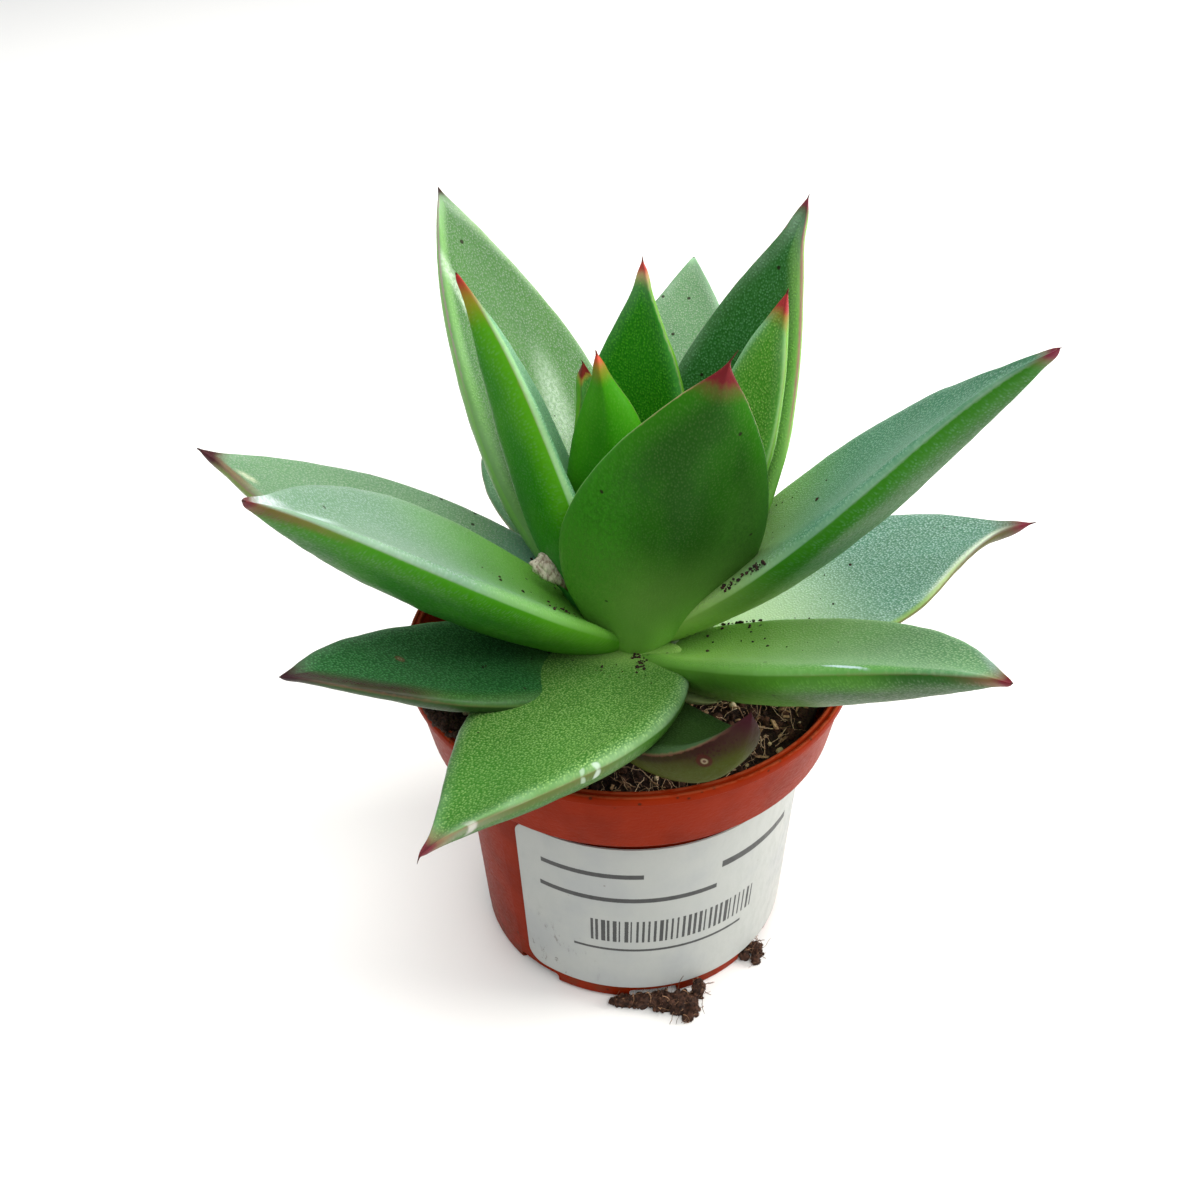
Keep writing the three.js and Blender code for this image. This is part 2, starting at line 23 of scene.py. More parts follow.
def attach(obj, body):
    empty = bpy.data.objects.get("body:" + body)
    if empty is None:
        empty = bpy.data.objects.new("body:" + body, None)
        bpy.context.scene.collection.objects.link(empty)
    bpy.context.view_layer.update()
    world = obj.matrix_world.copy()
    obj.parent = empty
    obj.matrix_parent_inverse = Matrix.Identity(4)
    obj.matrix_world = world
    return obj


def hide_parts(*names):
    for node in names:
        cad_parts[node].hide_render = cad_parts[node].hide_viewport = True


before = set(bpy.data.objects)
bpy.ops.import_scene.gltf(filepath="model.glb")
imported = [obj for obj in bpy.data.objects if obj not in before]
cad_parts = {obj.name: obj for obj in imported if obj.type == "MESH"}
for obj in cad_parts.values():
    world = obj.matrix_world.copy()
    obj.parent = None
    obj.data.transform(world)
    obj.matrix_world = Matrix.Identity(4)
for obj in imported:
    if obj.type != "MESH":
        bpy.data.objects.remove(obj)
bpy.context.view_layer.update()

MM = 0.001
BODY = "root"
log = logging.getLogger("potted_echeveria")

Colour = tuple[float, float, float, float]
Socket = bpy.types.NodeSocket
Object = bpy.types.Object
Material = bpy.types.Material


def paint(code: int) -> Colour:
    """Mix a colour from a painter's six-digit code.

    Args:
        code: red, green and blue as 0xRRGGBB.

    Returns:
        The colour in linear light, opaque.
    """
    parts = [(code >> shift & 255) / 255 for shift in (16, 8, 0)]
    red, green, blue = (p / 12.92 if p < 0.04045 else ((p + 0.055) / 1.055) ** 2.4 for p in parts)
    return red, green, blue, 1.0


# Finishes


class Graph:
    """The shader of one finish, built up from the values that it mixes.

    A number is a socket or a plain number, and a colour is a socket or a painter's code.
    """

    def __init__(self, name: str) -> None:
        """Start an empty material.

        Args:
            name: the material's name.
        """
        self.material = bpy.data.materials.new(name)
        self.material.use_nodes = True
        self.tree = self.material.node_tree
        self.tree.nodes.clear()

    def node(self, kind: str, inputs: dict[Any, Any] | None = None, **settings: Any) -> bpy.types.Node:
        """Add a shader node.

        Args:
            kind: its type, without the ShaderNode in front.
            inputs: a socket or a plain value for each input, by name or number.
            settings: the node's own properties.

        Returns:
            The node.
        """
        made = self.tree.nodes.new("ShaderNode" + kind)
        for key, value in settings.items():
            setattr(made, key, value)
        for key, value in (inputs or {}).items():
            if isinstance(value, Socket):
                self.tree.links.new(value, made.inputs[key])
            else:
                made.inputs[key].default_value = value
        return made

    def math(self, operation: str, *values: Any) -> Socket:
        """Combine numbers with a Math node."""
        return self.node("Math", dict(enumerate(values)), operation=operation).outputs[0]

    def plus(self, first: Any, second: Any) -> Socket:
        """Add two numbers."""
        return self.math("ADD", first, second)

    def minus(self, first: Any, second: Any) -> Socket:
        """Take the second number from the first."""
        return self.math("SUBTRACT", first, second)

    def times(self, *values: Any) -> Socket:
        """Multiply numbers."""
        return reduce(partial(self.math, "MULTIPLY"), values)

    def step(self, value: Any, low: float, high: float, top: float = 1.0) -> Socket:
        """Rise smoothly from 0 to top as a value goes from low to high; a high below low makes it fall."""
        limits = {"Value": value, "From Min": low, "From Max": high, "To Max": top}
        return self.node("MapRange", limits, interpolation_type="SMOOTHSTEP").outputs[0]

    def mix(self, amount: Any, below: Any, above: Any) -> Socket:
        """Lay one colour over another, as much of it as the amount says."""
        below, above = (paint(colour) if isinstance(colour, int) else colour for colour in (below, above))
        return self.node("Mix", {0: amount, 6: below, 7: above}, data_type="RGBA").outputs[2]

    def coats(self, ground: Any, *coats: tuple[Any, Any]) -> Any:
        """Lay coats over a ground, one after the other.

        Args:
            ground: the colour below.
            coats: for each one, how much of it shows, from 0 to 1, and its colour.

        Returns:
            The colour on top.
        """
        for amount, colour in coats:
            ground = self.mix(amount, ground, colour)
        return ground

    def noise(self, vector: Any, scale: float, detail: float = 2.0, rough: float = 0.5) -> Socket:
        """A cloudy pattern round 0.5: how fine, with how many finer layers, and how strong these are."""
        inputs = {"Vector": vector, "Scale": scale, "Detail": detail, "Roughness": rough}
        return self.node("TexNoise", inputs).outputs[0]

    def specks(self, vector: Any, scale: float, share: Any) -> tuple[Socket, Socket, Socket]:
        """Spots in some of the cells of a pattern.

        Args:
            vector: the coordinates that the cells are laid out in.
            scale: how fine they are.
            share: how many of them have a spot, from 0 to 1.

        Returns:
            Whether the cell has a spot, how far its middle is, and a number of its own from 0 to 1.
        """
        cells = self.node("TexVoronoi", {"Vector": vector, "Scale": scale})
        chance, _, own = self.split(cells.outputs["Color"])
        return self.math("LESS_THAN", chance, share), cells.outputs["Distance"], own

    def split(self, vector: Socket) -> tuple[Socket, Socket, Socket]:
        """The three parts of a vector."""
        return tuple(self.node("SeparateXYZ", {0: vector}).outputs)

    def join(self, x: Any, y: Any, z: Any = 0.0) -> Socket:
        """A vector from its three parts."""
        return self.node("CombineXYZ", {0: x, 1: y, 2: z}).outputs[0]

    def attribute(self, name: str, part: str = "Vector") -> Socket:
        """What the mesh says of itself at each point, under that name."""
        return self.node("Attribute", attribute_name=name).outputs[part]

    def place(self) -> Socket:
        """Where the point is in the piece's own coordinates, in millimetres."""
        place = self.node("TexCoord").outputs["Object"]
        return self.node("VectorMath", {0: place, "Scale": 1 / MM}, operation="SCALE").outputs[0]

    def finish(
        self, colour: Any, roughness: Any, height: Any = None, depth: float = 0.0, **constants: Any
    ) -> Material:
        """Close the shader.

        Args:
            colour: the base colour.
            roughness: the roughness.
            height: the relief, or None for none.
            depth: how deep a relief of 1 is, in millimetres.
            constants: other inputs of the Principled shader, with _ for each space.

        Returns:
            The finished material.
        """
        inputs = {"Base Color": colour, "Roughness": roughness}
        inputs |= {key.replace("_", " "): value for key, value in constants.items()}
        shader = self.node("BsdfPrincipled", inputs)
        if height is not None:
            relief = self.node("Bump", {"Height": height, "Distance": depth * MM})
            self.tree.links.new(relief.outputs[0], shader.inputs["Normal"])
        self.node("OutputMaterial", {0: shader.outputs[0]})
        return self.material


class LeafGraph(Graph):
    """A leaf's shader, with its coordinates in millimetres and the patterns that its coats share.

    run, left, across: how far the root, the tip and the midline are. edge: how far the margin is, below
    0 on the underside; inward: the same on both faces. side: from -1 at one margin to 1 at the other.
    dots: small round grains. fine, clouds: a fine and a broad mottling.
    """

    GRAINS_ALONG = 2.7
    GRAINS_ACROSS = 3.6
    APART = 7.3

    def __init__(self, name: str, length: float, seed: float) -> None:
        """Read the leaf's coordinates and lay out its patterns.

        Args:
            name: the material's name.
            length: the leaf's length in millimetres.
            seed: a number that makes its patterns differ from the other leaves'.
        """
        super().__init__(name)
        self.length = length
        self.run, self.across, self.edge = self.split(self.attribute("flesh"))
        self.left = self.minus(length, self.run)
        self.inward = self.math("ABSOLUTE", self.edge)
        self.side = self.attribute("side", "Fac")
        self.apart = self.APART * seed
        along = self.plus(self.times(self.run, self.GRAINS_ALONG), self.apart)
        drawn = self.join(along, self.times(self.across, self.GRAINS_ACROSS))
        inputs = {"Vector": drawn, "Randomness": 0.95, "Scale": 1.0}
        grains = self.node("TexVoronoi", inputs, voronoi_dimensions="2D")
        strength = self.plus(self.times(self.split(grains.outputs["Color"])[0], 1.04), 0.26)
        round_grain = self.step(grains.outputs["Distance"], 0.5, 0.14)
        self.dots = self.times(round_grain, self.step(self.inward, 0.15, 1.1), strength)
        self.fine = self.noise(drawn, 0.6, 3.0, 0.65)
        broad = self.join(self.times(self.run, 0.1), self.times(self.across, 0.22), seed)
        self.clouds = self.noise(broad, 1.0)


@dataclass(frozen=True)
class Mark:
    """A scar, bruise, streak or painted highlight on a leaf, in millimetres from its root and middle, and
    degrees.

    ring: drawn as a ring with a pale middle. soft: a smooth cloud of colour, not a ragged scar.
    face: 1 for the upper face alone, -1 for the underside alone, 0 for both.
    """

    run: float
    across: float
    length: float
    width: float
    turn: float
    colour: int
    strength: float
    ring: bool = False
    soft: bool = False
    face: int = 0

    PALE_MIDDLE = 0x8A7A62
    DARK_HEART = 0x3A2018

    def lay(self, g: LeafGraph, colour: Socket) -> Socket:
        """Lay the mark over a leaf.

        Args:
            g: the leaf's shader.
            colour: its colour so far.

        Returns:
            The colour with the mark.
        """
        place = g.join(g.minus(g.run, self.run), g.minus(g.across, self.across))
        spin = {"Vector": place, "Angle": math.radians(self.turn)}
        turned = g.node("VectorRotate", spin, rotation_type="Z_AXIS").outputs[0]
        sizes = (2 / self.length, 2 / self.width, 1.0)
        ball = g.node("VectorMath", {0: turned, 1: sizes}, operation="MULTIPLY").outputs[0]
        far = g.node("VectorMath", {0: ball}, operation="LENGTH").outputs["Value"]
        if self.face:
            far = g.plus(far, g.step(g.edge, 0.1 * self.face, -0.2 * self.face, 9.0))
        if self.soft:
            mottle = g.plus(g.step(g.fine, 0.4, 0.62, 0.55), 0.6)
            return g.mix(g.times(g.step(far, 1.3, 0.2, self.strength), mottle), colour, self.colour)
        if self.ring:
            wall = g.math("ABSOLUTE", g.minus(far, 0.75))
            return g.coats(
                colour,
                (g.step(far, 0.6, 0.3, self.strength), self.PALE_MIDDLE),
                (g.step(wall, 0.4, 0.1, self.strength), self.colour),
                (g.step(far, 0.3, 0.15, self.strength), self.DARK_HEART),
            )
        ragged = g.plus(far, g.times(g.noise(turned, 2.2, 3.0), 0.7))
        return g.mix(g.step(ragged, 1.45, 0.75, self.strength), colour, self.colour)


@dataclass(frozen=True)
class Hem:
    """A strip of another colour along one margin, in millimetres.

    way: -1 or 1 for the margin. start, end: where it begins and stops, as shares of the leaf's
    length. under: on the underside, not on the upper face.
    """

    colour: int
    width: float
    way: int
    strength: float
    start: float = 0.0
    end: float = 1.1
    under: bool = False

    FADE = 0.06

    def coat(self, g: LeafGraph) -> tuple[Socket, int]:
        """Lay the hem out.

        Args:
            g: the leaf's shader.

        Returns:
            How much of it shows, and its colour.
        """
        share = g.math("DIVIDE", g.run, g.length)
        amount = g.times(
            g.step(g.inward, 1.25 * self.width, 0.35 * self.width, self.strength),
            g.step(g.side, -0.05 * self.way, 0.1 * self.way),
            g.step(share, self.start - self.FADE, self.start + self.FADE),
            g.step(share, self.end + self.FADE, self.end - self.FADE),
            g.plus(g.times(g.dots, 0.4), 0.75),
        )
        return amount, self.colour


@dataclass(frozen=True)
class Flesh:
    """The skin of a leaf. Colours are painter's codes, reaches and widths are in millimetres.

    face, bloom: the upper face and the pale grains on it.
    under, backlit_band: the underside and the lighter strip below its margins, painted light through them.
    root: what both fade into towards the stem; its paleness is partly painted light on the shaded bases.
    tip, glow: the ripened tip and what it fades through into green; thorn: its very end.
    rim: the thin uneven line on the margins, which starts at rim_start as a share of the length.
    haze: how strongly the pale wax shows on the shoulders. dirt: how many specks of soil lie on it.
    """

    face: int
    bloom: int
    under: int
    backlit_band: int
    root: int
    tip: int = 0x6A1222
    glow: int = 0x806A30
    tip_reach: float = 2.2
    tip_fade: float = 1.8
    rim: int = 0x8A5A4C
    rim_width: float = 0.12
    rim_start: float = 0.45
    rim_strength: float = 0.5
    root_reach: float = 20.0
    grain: float = 0.65
    haze: float = 0.2
    dirt: float = 0.3
    shine: float = 0.4
    hems: tuple[Hem, ...] = ()
    wax: int = 0xB4CCB8
    thorn: int = 0x2A1614
    soil: int = 0x1E1A0C

    def dress(self, name: str, length: float, seed: float, marks: Iterable[Mark]) -> Material:
        """Paint this skin for one leaf.

        Args:
            name: the material's name.
            length: the leaf's length in millimetres.
            seed: a number that makes its patterns differ from the other leaves'.
            marks: its scars, streaks and painted highlights.

        Returns:
            The material.
        """
        g = LeafGraph(name, length, seed)
        upper = g.step(g.edge, -0.15, 0.15)
        colour = g.mix(upper, self._underside(g), self._upper_face(g))
        for mark in marks:
            colour = mark.lay(g, colour)
        colour = g.coats(colour, self._margins(g), *self._ripening(g), self._specks(g))
        rough = g.plus(g.step(g.fine, 0.3, 0.7, 0.16), self.shine - 0.06)
        grains = g.times(g.dots, g.plus(g.times(upper, 0.6), 0.15))
        height = g.plus(grains, g.times(g.fine, 0.35))
        return g.finish(
            colour, rough, height, 0.05, Subsurface_Weight=0.08, Subsurface_Radius=(0.6, 1.0, 0.25),
            Subsurface_Scale=1.2 * MM, Specular_IOR_Level=0.1,
        )

    def _upper_face(self, g: LeafGraph) -> Socket:
        """Colour the upper face: a mottled ground, pale grains, waxy shoulders and hems.

        Args:
            g: the leaf's shader.

        Returns:
            Its colour.
        """
        wax = g.times(g.step(g.edge, 2.6, 0.3), g.step(g.clouds, 0.25, 0.7, self.haze))
        return g.coats(
            g.mix(0.8 * self.grain, self.face, g.mix(0.45, self.face, self.under)),
            (g.step(g.clouds, 0.3, 0.72, 0.4), self.face),
            (g.step(g.fine, 0.45, 0.68, 0.3 * self.grain), self.bloom),
            (g.times(g.dots, self.grain), self.bloom),
            (g.times(wax, g.plus(g.step(g.left, 16.0, 2.0, 0.6), 0.7)), self.wax),
            # partly painted light: the pale root colour also brightens the crowded bases, which lie in shade
            (g.step(g.run, self.root_reach, 0.2 * self.root_reach, 0.85), self.root),
            *(hem.coat(g) for hem in self.hems if not hem.under),
        )

    def _underside(self, g: LeafGraph) -> Socket:
        """Colour the underside: darker along its keel, lighter below the margins as painted light, and hems.

        Args:
            g: the leaf's shader.

        Returns:
            Its colour.
        """
        return g.coats(
            self.under,
            # painted light: the lighter strip below the margins stands for light shining through them; the
            # clouds after it reuse that colour as mottling
            (g.step(g.inward, 4.2, 0.5, 0.85), self.backlit_band),
            (g.step(g.clouds, 0.42, 0.7, 0.3), self.backlit_band),
            (g.times(g.dots, 0.16 * self.grain), self.bloom),
            # partly painted light: the pale root colour also brightens the shaded bases
            (g.step(g.run, 0.8 * self.root_reach, 0.15 * self.root_reach, 0.8), self.root),
            *(hem.coat(g) for hem in self.hems if hem.under),
        )

    def _margins(self, g: LeafGraph) -> tuple[Socket, int]:
        """Draw the thin uneven line on the margins.

        Args:
            g: the leaf's shader.

        Returns:
            How much of it shows, and its colour.
        """
        waver = g.times(g.minus(g.noise(g.run, 0.9, 3.0), 0.5), 0.5)
        line = g.step(g.plus(g.inward, waver), self.rim_width + 0.14, self.rim_width - 0.06)
        start = self.rim_start * g.length
        return g.times(line, g.step(g.run, start, start + 0.25 * g.length, self.rim_strength)), self.rim

    def _ripening(self, g: LeafGraph) -> list[tuple[Socket, int]]:
        """Ripen the tip: a soft halo, the dark cap, which runs back along the margins, and its point.

        Args:
            g: the leaf's shader.

        Returns:
            How much of each shows, and its colour.
        """
        reach, fade = self.tip_reach, self.tip_fade
        back = g.times(g.step(g.inward, 0.7, 0.0), 0.2 * reach)
        rough = g.times(g.minus(g.fine, 0.5), 0.5 * reach)
        left = g.minus(g.plus(g.left, rough), back)
        return [
            (g.step(left, reach + 2.2 * fade, reach, 0.75), self.glow),
            (g.step(left, reach + 0.7 * fade, reach - 0.6 * fade, 0.95), self.tip),
            (g.step(g.left, 0.35, -0.1, 0.75), self.thorn),
        ]

    def _specks(self, g: LeafGraph) -> tuple[Socket, int]:
        """Strew fine specks of soil over the skin, most of them near the root.

        Args:
            g: the leaf's shader.

        Returns:
            How much of them shows, and their colour.
        """
        near = g.plus(g.step(g.run, 22.0, 3.0, self.dirt), 0.2 * self.dirt)
        there, far, size = g.specks(g.join(g.run, g.across, g.apart), 0.62, near)
        return g.times(g.step(g.minus(far, g.times(size, 0.1)), 0.13, 0.05), there, 0.9), self.soil


@dataclass(frozen=True)
class PotPlastic:
    """Thin terracotta-coloured plastic, satin, with faint flow marks, scuffs, dust and a painted lip
    highlight.
    """

    base: int = 0x802206
    deep: int = 0x6C1A04
    flow: int = 0x8A2C10
    scuff: int = 0x943816
    grit: int = 0x2C1A10
    dust: int = 0x563420
    # edge: a painted highlight on the ridges of the lip
    edge: int = 0x94482C

    def dress(self) -> Material:
        """Mix the plastic.

        Returns:
            The material.
        """
        g = Graph("pot_plastic")
        place = g.place()
        x, y, z = g.split(place)
        flow = g.noise(g.join(x, y, g.times(z, 0.08)), 0.35, 3.0)
        scuffs = g.noise(g.join(g.times(x, 0.4), y, g.times(z, 2.5)), 1.4, 4.0, 0.7)
        gritty = g.plus(g.step(z, 9.0, 0.0, 0.35), g.step(z, 46.0, 50.0, 0.3))
        there, far, _ = g.specks(place, 0.7, gritty)
        colour = g.coats(
            self.base,
            (g.step(g.noise(place, 0.16), 0.35, 0.7, 0.6), self.deep),
            (g.step(flow, 0.5, 0.75, 0.15), self.flow),
            (g.step(scuffs, 0.64, 0.78, 0.15), self.scuff),
            (g.times(g.step(far, 0.22, 0.08, 0.8), there), self.grit),
            (g.times(g.step(z, 12.0, 0.0), g.step(g.noise(place, 0.5, 4.0), 0.42, 0.7, 0.5)), self.dust),
            # painted highlight: the lip's ridges lighter, in patches like wear
            (g.times(g.step(z, 49.7, 49.88), g.step(scuffs, 0.35, 0.55, 0.55)), self.edge),
        )
        rough = g.plus(g.step(scuffs, 0.3, 0.8, 0.2), 0.3)
        height = g.plus(g.noise(place, 2.2, 3.0), g.times(flow, 0.8))
        return g.finish(colour, rough, height, 0.03, Specular_IOR_Level=0.015)


@dataclass(frozen=True)
class LabelPaper:
    """Satin white paper with plain ruled lines, a block of plain upright bars and some dirt.

    rules: start, end, height and thickness of each line. bars: start, end, foot and top of their
    block. soft: how far the ink's edge fades. All in millimetres.
    """

    paper: int = 0xA2A5A1
    cloud: int = 0x94989A
    ink: int = 0x1C1D1F
    smear: int = 0x4A3A2C
    grit: int = 0x5A4838
    rules: tuple[tuple[float, float, float, float], ...] = (
        (3.8, 17.6, 25.6, 0.9), (3.4, 27.8, 20.5, 0.9), (28.2, 41.0, 24.6, 1.3), (8.0, 33.0, 9.2, 0.5),
    )
    bars: tuple[float, float, float, float] = (10.5, 34.7, 11.0, 15.9)
    bar_pitch: float = 0.8
    soft: float = 0.1

    def dress(self) -> Material:
        """Print the paper.

        Returns:
            The material.
        """
        g = Graph("label_paper")
        x, z, _ = g.split(g.attribute("sheet"))
        ragged = g.times(g.minus(g.noise(g.join(x, z), 6.0, 3.0), 0.5), 0.12)
        ink = self._bars(g, x, z, ragged)
        for start, end, height, thick in self.rules:
            off = g.plus(g.math("ABSOLUTE", g.minus(z, height)), ragged)
            line = g.times(self._within(g, x, start, end), g.step(off, thick / 2 + 0.06, thick / 2 - 0.06))
            ink = g.math("MAXIMUM", ink, line)
        smear = g.noise(g.join(x, g.times(z, 0.35), 9.0), 0.9, 4.0, 0.7)
        corner = g.times(g.step(x, 14.0, 2.0), g.step(z, 16.0, 4.0))
        there, far, _ = g.specks(g.join(x, z), 0.4, 0.08)
        colour = g.coats(
            self.paper,
            (g.step(g.noise(g.join(x, z, 3.0), 0.14, 3.0), 0.4, 0.7, 0.5), self.cloud),
            (g.times(ink, 0.93), self.ink),
            (g.times(corner, g.step(smear, 0.58, 0.68, 0.75)), self.smear),
            (g.times(there, g.step(far, 0.1, 0.04, 0.7)), self.grit),
        )
        rough = g.plus(g.step(smear, 0.4, 0.7, 0.2), 0.4)
        return g.finish(colour, rough, g.noise(g.join(x, z, 5.0), 1.6, 4.0), 0.02, Specular_IOR_Level=0.3)

    def _within(self, g: Graph, value: Socket, low: float, high: float) -> Socket:
        """1 where a value lies between two limits, with a soft edge inside each."""
        return g.times(g.step(value, low, low + self.soft), g.step(value, high, high - self.soft))

    def _bars(self, g: Graph, x: Socket, z: Socket, ragged: Socket) -> Socket:
        """Rule the block of upright bars, one in each slot, of uneven widths.

        Args:
            g: the shader.
            x: the distance from the sheet's left end.
            z: the height on the sheet.
            ragged: how uneven the ink's edge is.

        Returns:
            1 where there is ink.
        """
        start, end, foot, top = self.bars
        along = g.math("DIVIDE", g.plus(x, ragged), self.bar_pitch)
        slot = g.math("FLOOR", along)
        chance = g.node("TexWhiteNoise", {"W": slot}, noise_dimensions="1D").outputs["Value"]
        bar = g.math("LESS_THAN", g.minus(along, slot), g.plus(g.times(chance, 0.5), 0.25))
        return g.times(bar, self._within(g, x, start, end), self._within(g, z, foot, top))


@dataclass(frozen=True)
class Loose:
    """The finish of loose stuff, whose bits have shades of their own between two colours.

    relief: how deep it is, in millimetres. scale: how fine. stretch: how much finer it is upwards.
    """

    name: str
    dark: int
    light: int
    roughness: float
    relief: float
    scale: float = 2.5
    stretch: float = 1.0

    def dress(self) -> Material:
        """Mix this finish.

        Returns:
            The material.
        """
        g = Graph(self.name)
        x, y, z = g.split(g.place())
        drawn = g.join(x, y, g.times(z, self.stretch))
        cloudy = g.noise(drawn, self.scale, 4.0, 0.65)
        shade = g.times(g.attribute("shade", "Fac"), 0.6)
        colour = g.coats(
            self.dark,
            (g.plus(shade, g.step(cloudy, 0.35, 0.7, 0.4)), self.light),
            (g.step(g.noise(drawn, 1.7 * self.scale), 0.52, 0.36, 0.6), self.dark),
        )
        return g.finish(colour, self.roughness, cloudy, self.relief, Specular_IOR_Level=0.3)


class Matter(Enum):
    """What a loose bit in or round the pot is made of."""

    PEAT = Loose("peat", 0x0E0705, 0x6A4632, 0.85, 0.5)
    FIBRE = Loose("fibre", 0x7A4E2E, 0xFFE4BC, 0.7, 0.04, 3.0)
    ROOT = Loose("clod_root", 0x2A160E, 0xC09470, 0.8, 0.04, 3.0)
    PERLITE = Loose("perlite", 0xB59A62, 0xF1E6C4, 0.6, 0.12, 2.0)
    BARK = Loose("bark", 0x4A2E1A, 0xECC492, 0.8, 0.2, 1.6, 2.0)
    HUSK = Loose("husk", 0x5A3C22, 0xDAD2C2, 0.75, 0.3, 1.6, 0.35)
    CLOD = Loose("clod_peat", 0x0E0604, 0x62402F, 0.85, 0.4, 1.4)


@dataclass(frozen=True)
class FloorPaint:
    """A matt, almost white floor."""

    colour: int = 0xF4F4F2
    worn: int = 0xEFEFEE

    def dress(self) -> Material:
        """Mix the paint.

        Returns:
            The material.
        """
        g = Graph("pale_floor")
        tone = g.mix(g.step(g.noise(g.place(), 0.004), 0.4, 0.6, 0.4), self.colour, self.worn)
        return g.finish(tone, 0.7, Specular_IOR_Level=0.2)


# The bench


def deselect() -> None:
    """Leave nothing selected, so that the next tool acts on its own piece alone."""
    for piece in bpy.context.selected_objects:
        piece.select_set(False)


def take(*pieces: Object) -> None:
    """Select pieces alone.

    Args:
        pieces: the pieces, of which the first one becomes the active one.
    """
    deselect()
    for piece in pieces:
        piece.select_set(True)
    bpy.context.view_layer.objects.active = pieces[0]


@contextmanager
def shaping(piece: Object, whole: bool = True) -> Iterator[bmesh.types.BMesh]:
    """Work on a piece in edit mode.

    Args:
        piece: the piece.
        whole: whether all of it starts selected, or nothing.

    Yields:
        The mesh being edited.
    """
    take(piece)
    bpy.ops.object.mode_set(mode="EDIT")
    bpy.ops.mesh.select_mode(type="VERT")
    bpy.ops.mesh.select_all(action="SELECT" if whole else "DESELECT")
    yield bmesh.from_edit_mesh(piece.data)
    bpy.ops.object.mode_set(mode="OBJECT")


def pick(mesh: bmesh.types.BMesh, test: Callable[[Vector], bool]) -> None:
    """Select the vertices that a test picks by their place, and nothing else.

    Args:
        mesh: the mesh being edited.
        test: says of a place whether a vertex there is wanted.
    """
    bpy.ops.mesh.select_all(action="DESELECT")
    for vertex in mesh.verts:
        vertex.select = test(vertex.co)
    mesh.select_flush_mode()


def move(step: Iterable[float]) -> None:
    """Move what is selected in edit mode."""
    bpy.ops.transform.translate(value=tuple(step))


def resize(factors: Iterable[float], centre: Iterable[float] = (0, 0, 0)) -> None:
    """Resize what is selected in edit mode round a point that stays."""
    bpy.ops.transform.resize(value=tuple(factors), center_override=tuple(centre))


def turn(axis: str, angle: float, centre: Iterable[float] = (0, 0, 0)) -> None:
    """Turn what is selected in edit mode, right-handed and in radians; bare, the tool turns the other way."""
    bpy.ops.transform.rotate(value=-angle, orient_axis=axis, center_override=tuple(centre))


def extrude(step: Iterable[float], widen: Iterable[float], centre: Iterable[float]) -> None:
    """Extrude what is selected in edit mode by a step, and resize its new end round a centre."""
    bpy.ops.mesh.extrude_region_move(TRANSFORM_OT_translate={"value": tuple(step)})
    resize(widen, centre)


def modify(piece: Object, kind: str, **settings: Any) -> None:
    """Put a modifier on a piece and apply it.

    Args:
        piece: the piece.
        kind: the modifier's type.
        settings: its properties.
    """
    made = piece.modifiers.new(kind.title(), kind)
    for key, value in settings.items():
        setattr(made, key, value)
    take(piece)
    bpy.ops.object.modifier_apply(modifier=made.name)


def roughen(piece: Object, size: float, depth: float, **settings: Any) -> None:
    """Push a piece's surface in and out in clouds.

    Args:
        piece: the piece.
        size: how large the clouds are, in millimetres.
        depth: how far apart the lowest and the highest point may come, in millimetres.
        settings: other properties of the Displace modifier.
    """
    clouds = bpy.data.textures.new(f"{piece.name}_clouds", "CLOUDS")
    clouds.noise_scale = size * MM
    modify(piece, "DISPLACE", texture=clouds, strength=depth * MM, mid_level=0.5, **settings)


def refine(piece: Object, levels: int) -> None:
    """Round a piece off by subdividing it that many times."""
    modify(piece, "SUBSURF", levels=levels, render_levels=levels)


def settle(piece: Object) -> None:
    """Put a piece's place, turn and scale into its mesh."""
    take(piece)
    bpy.ops.object.transform_apply(location=True, rotation=True, scale=True)


def face_out(piece: Object) -> None:
    """Merge doubles and make every face look outwards.

    Args:
        piece: the piece.
    """
    with shaping(piece):
        bpy.ops.mesh.remove_doubles(threshold=0.002 * MM)
        bpy.ops.mesh.normals_make_consistent(inside=False)


def added(name: str) -> Object:
    """Name the piece that was just added.

    Args:
        name: its name.

    Returns:
        The piece.
    """
    piece = bpy.context.object
    piece.name = piece.data.name = name
    return piece


def disc(name: str, sides: int, radius: float) -> Object:
    """Add a flat disc round the Z axis, with its radius in millimetres."""
    bpy.ops.mesh.primitive_circle_add(vertices=sides, radius=radius * MM, fill_type="NGON")
    return added(name)


def lathe(name: str, profile: list[tuple[float, float]], segments: int) -> Object:
    """Turn a piece from a disc that is raised and resized from one profile point to the next.

    Args:
        name: the piece's name.
        profile: radius and height of each point in millimetres, from the middle of the foot on.
        segments: how many sides the rounds have.

    Returns:
        The piece, closed, with a flat face at each end of the profile.
    """
    radius, height = profile[0]
    piece = disc(name, segments, radius)
    with shaping(piece):
        move((0, 0, height * MM))
        for next_radius, next_height in profile[1:]:
            ratio = next_radius / radius
            extrude((0, 0, (next_height - height) * MM), (ratio, ratio, 1), (0, 0, next_height * MM))
            radius, height = next_radius, next_height
    face_out(piece)
    return piece


def shaded(piece: Object, *shades: float) -> None:
    """Say how light a piece is in its finish, from 0 to 1: all of it, or each of its points."""
    layer = piece.data.attributes.get("shade") or piece.data.attributes.new("shade", "FLOAT", "POINT")
    layer.data.foreach_set("value", shades * (len(layer.data) // len(shades)))


def fused(name: str, pieces: list[Object]) -> Object:
    """Join pieces into one.

    Args:
        name: the name of the whole.
        pieces: the pieces, which become one mesh.

    Returns:
        The whole.
    """
    take(*pieces)
    bpy.ops.object.join()
    whole = added(name)
    settle(whole)
    return whole


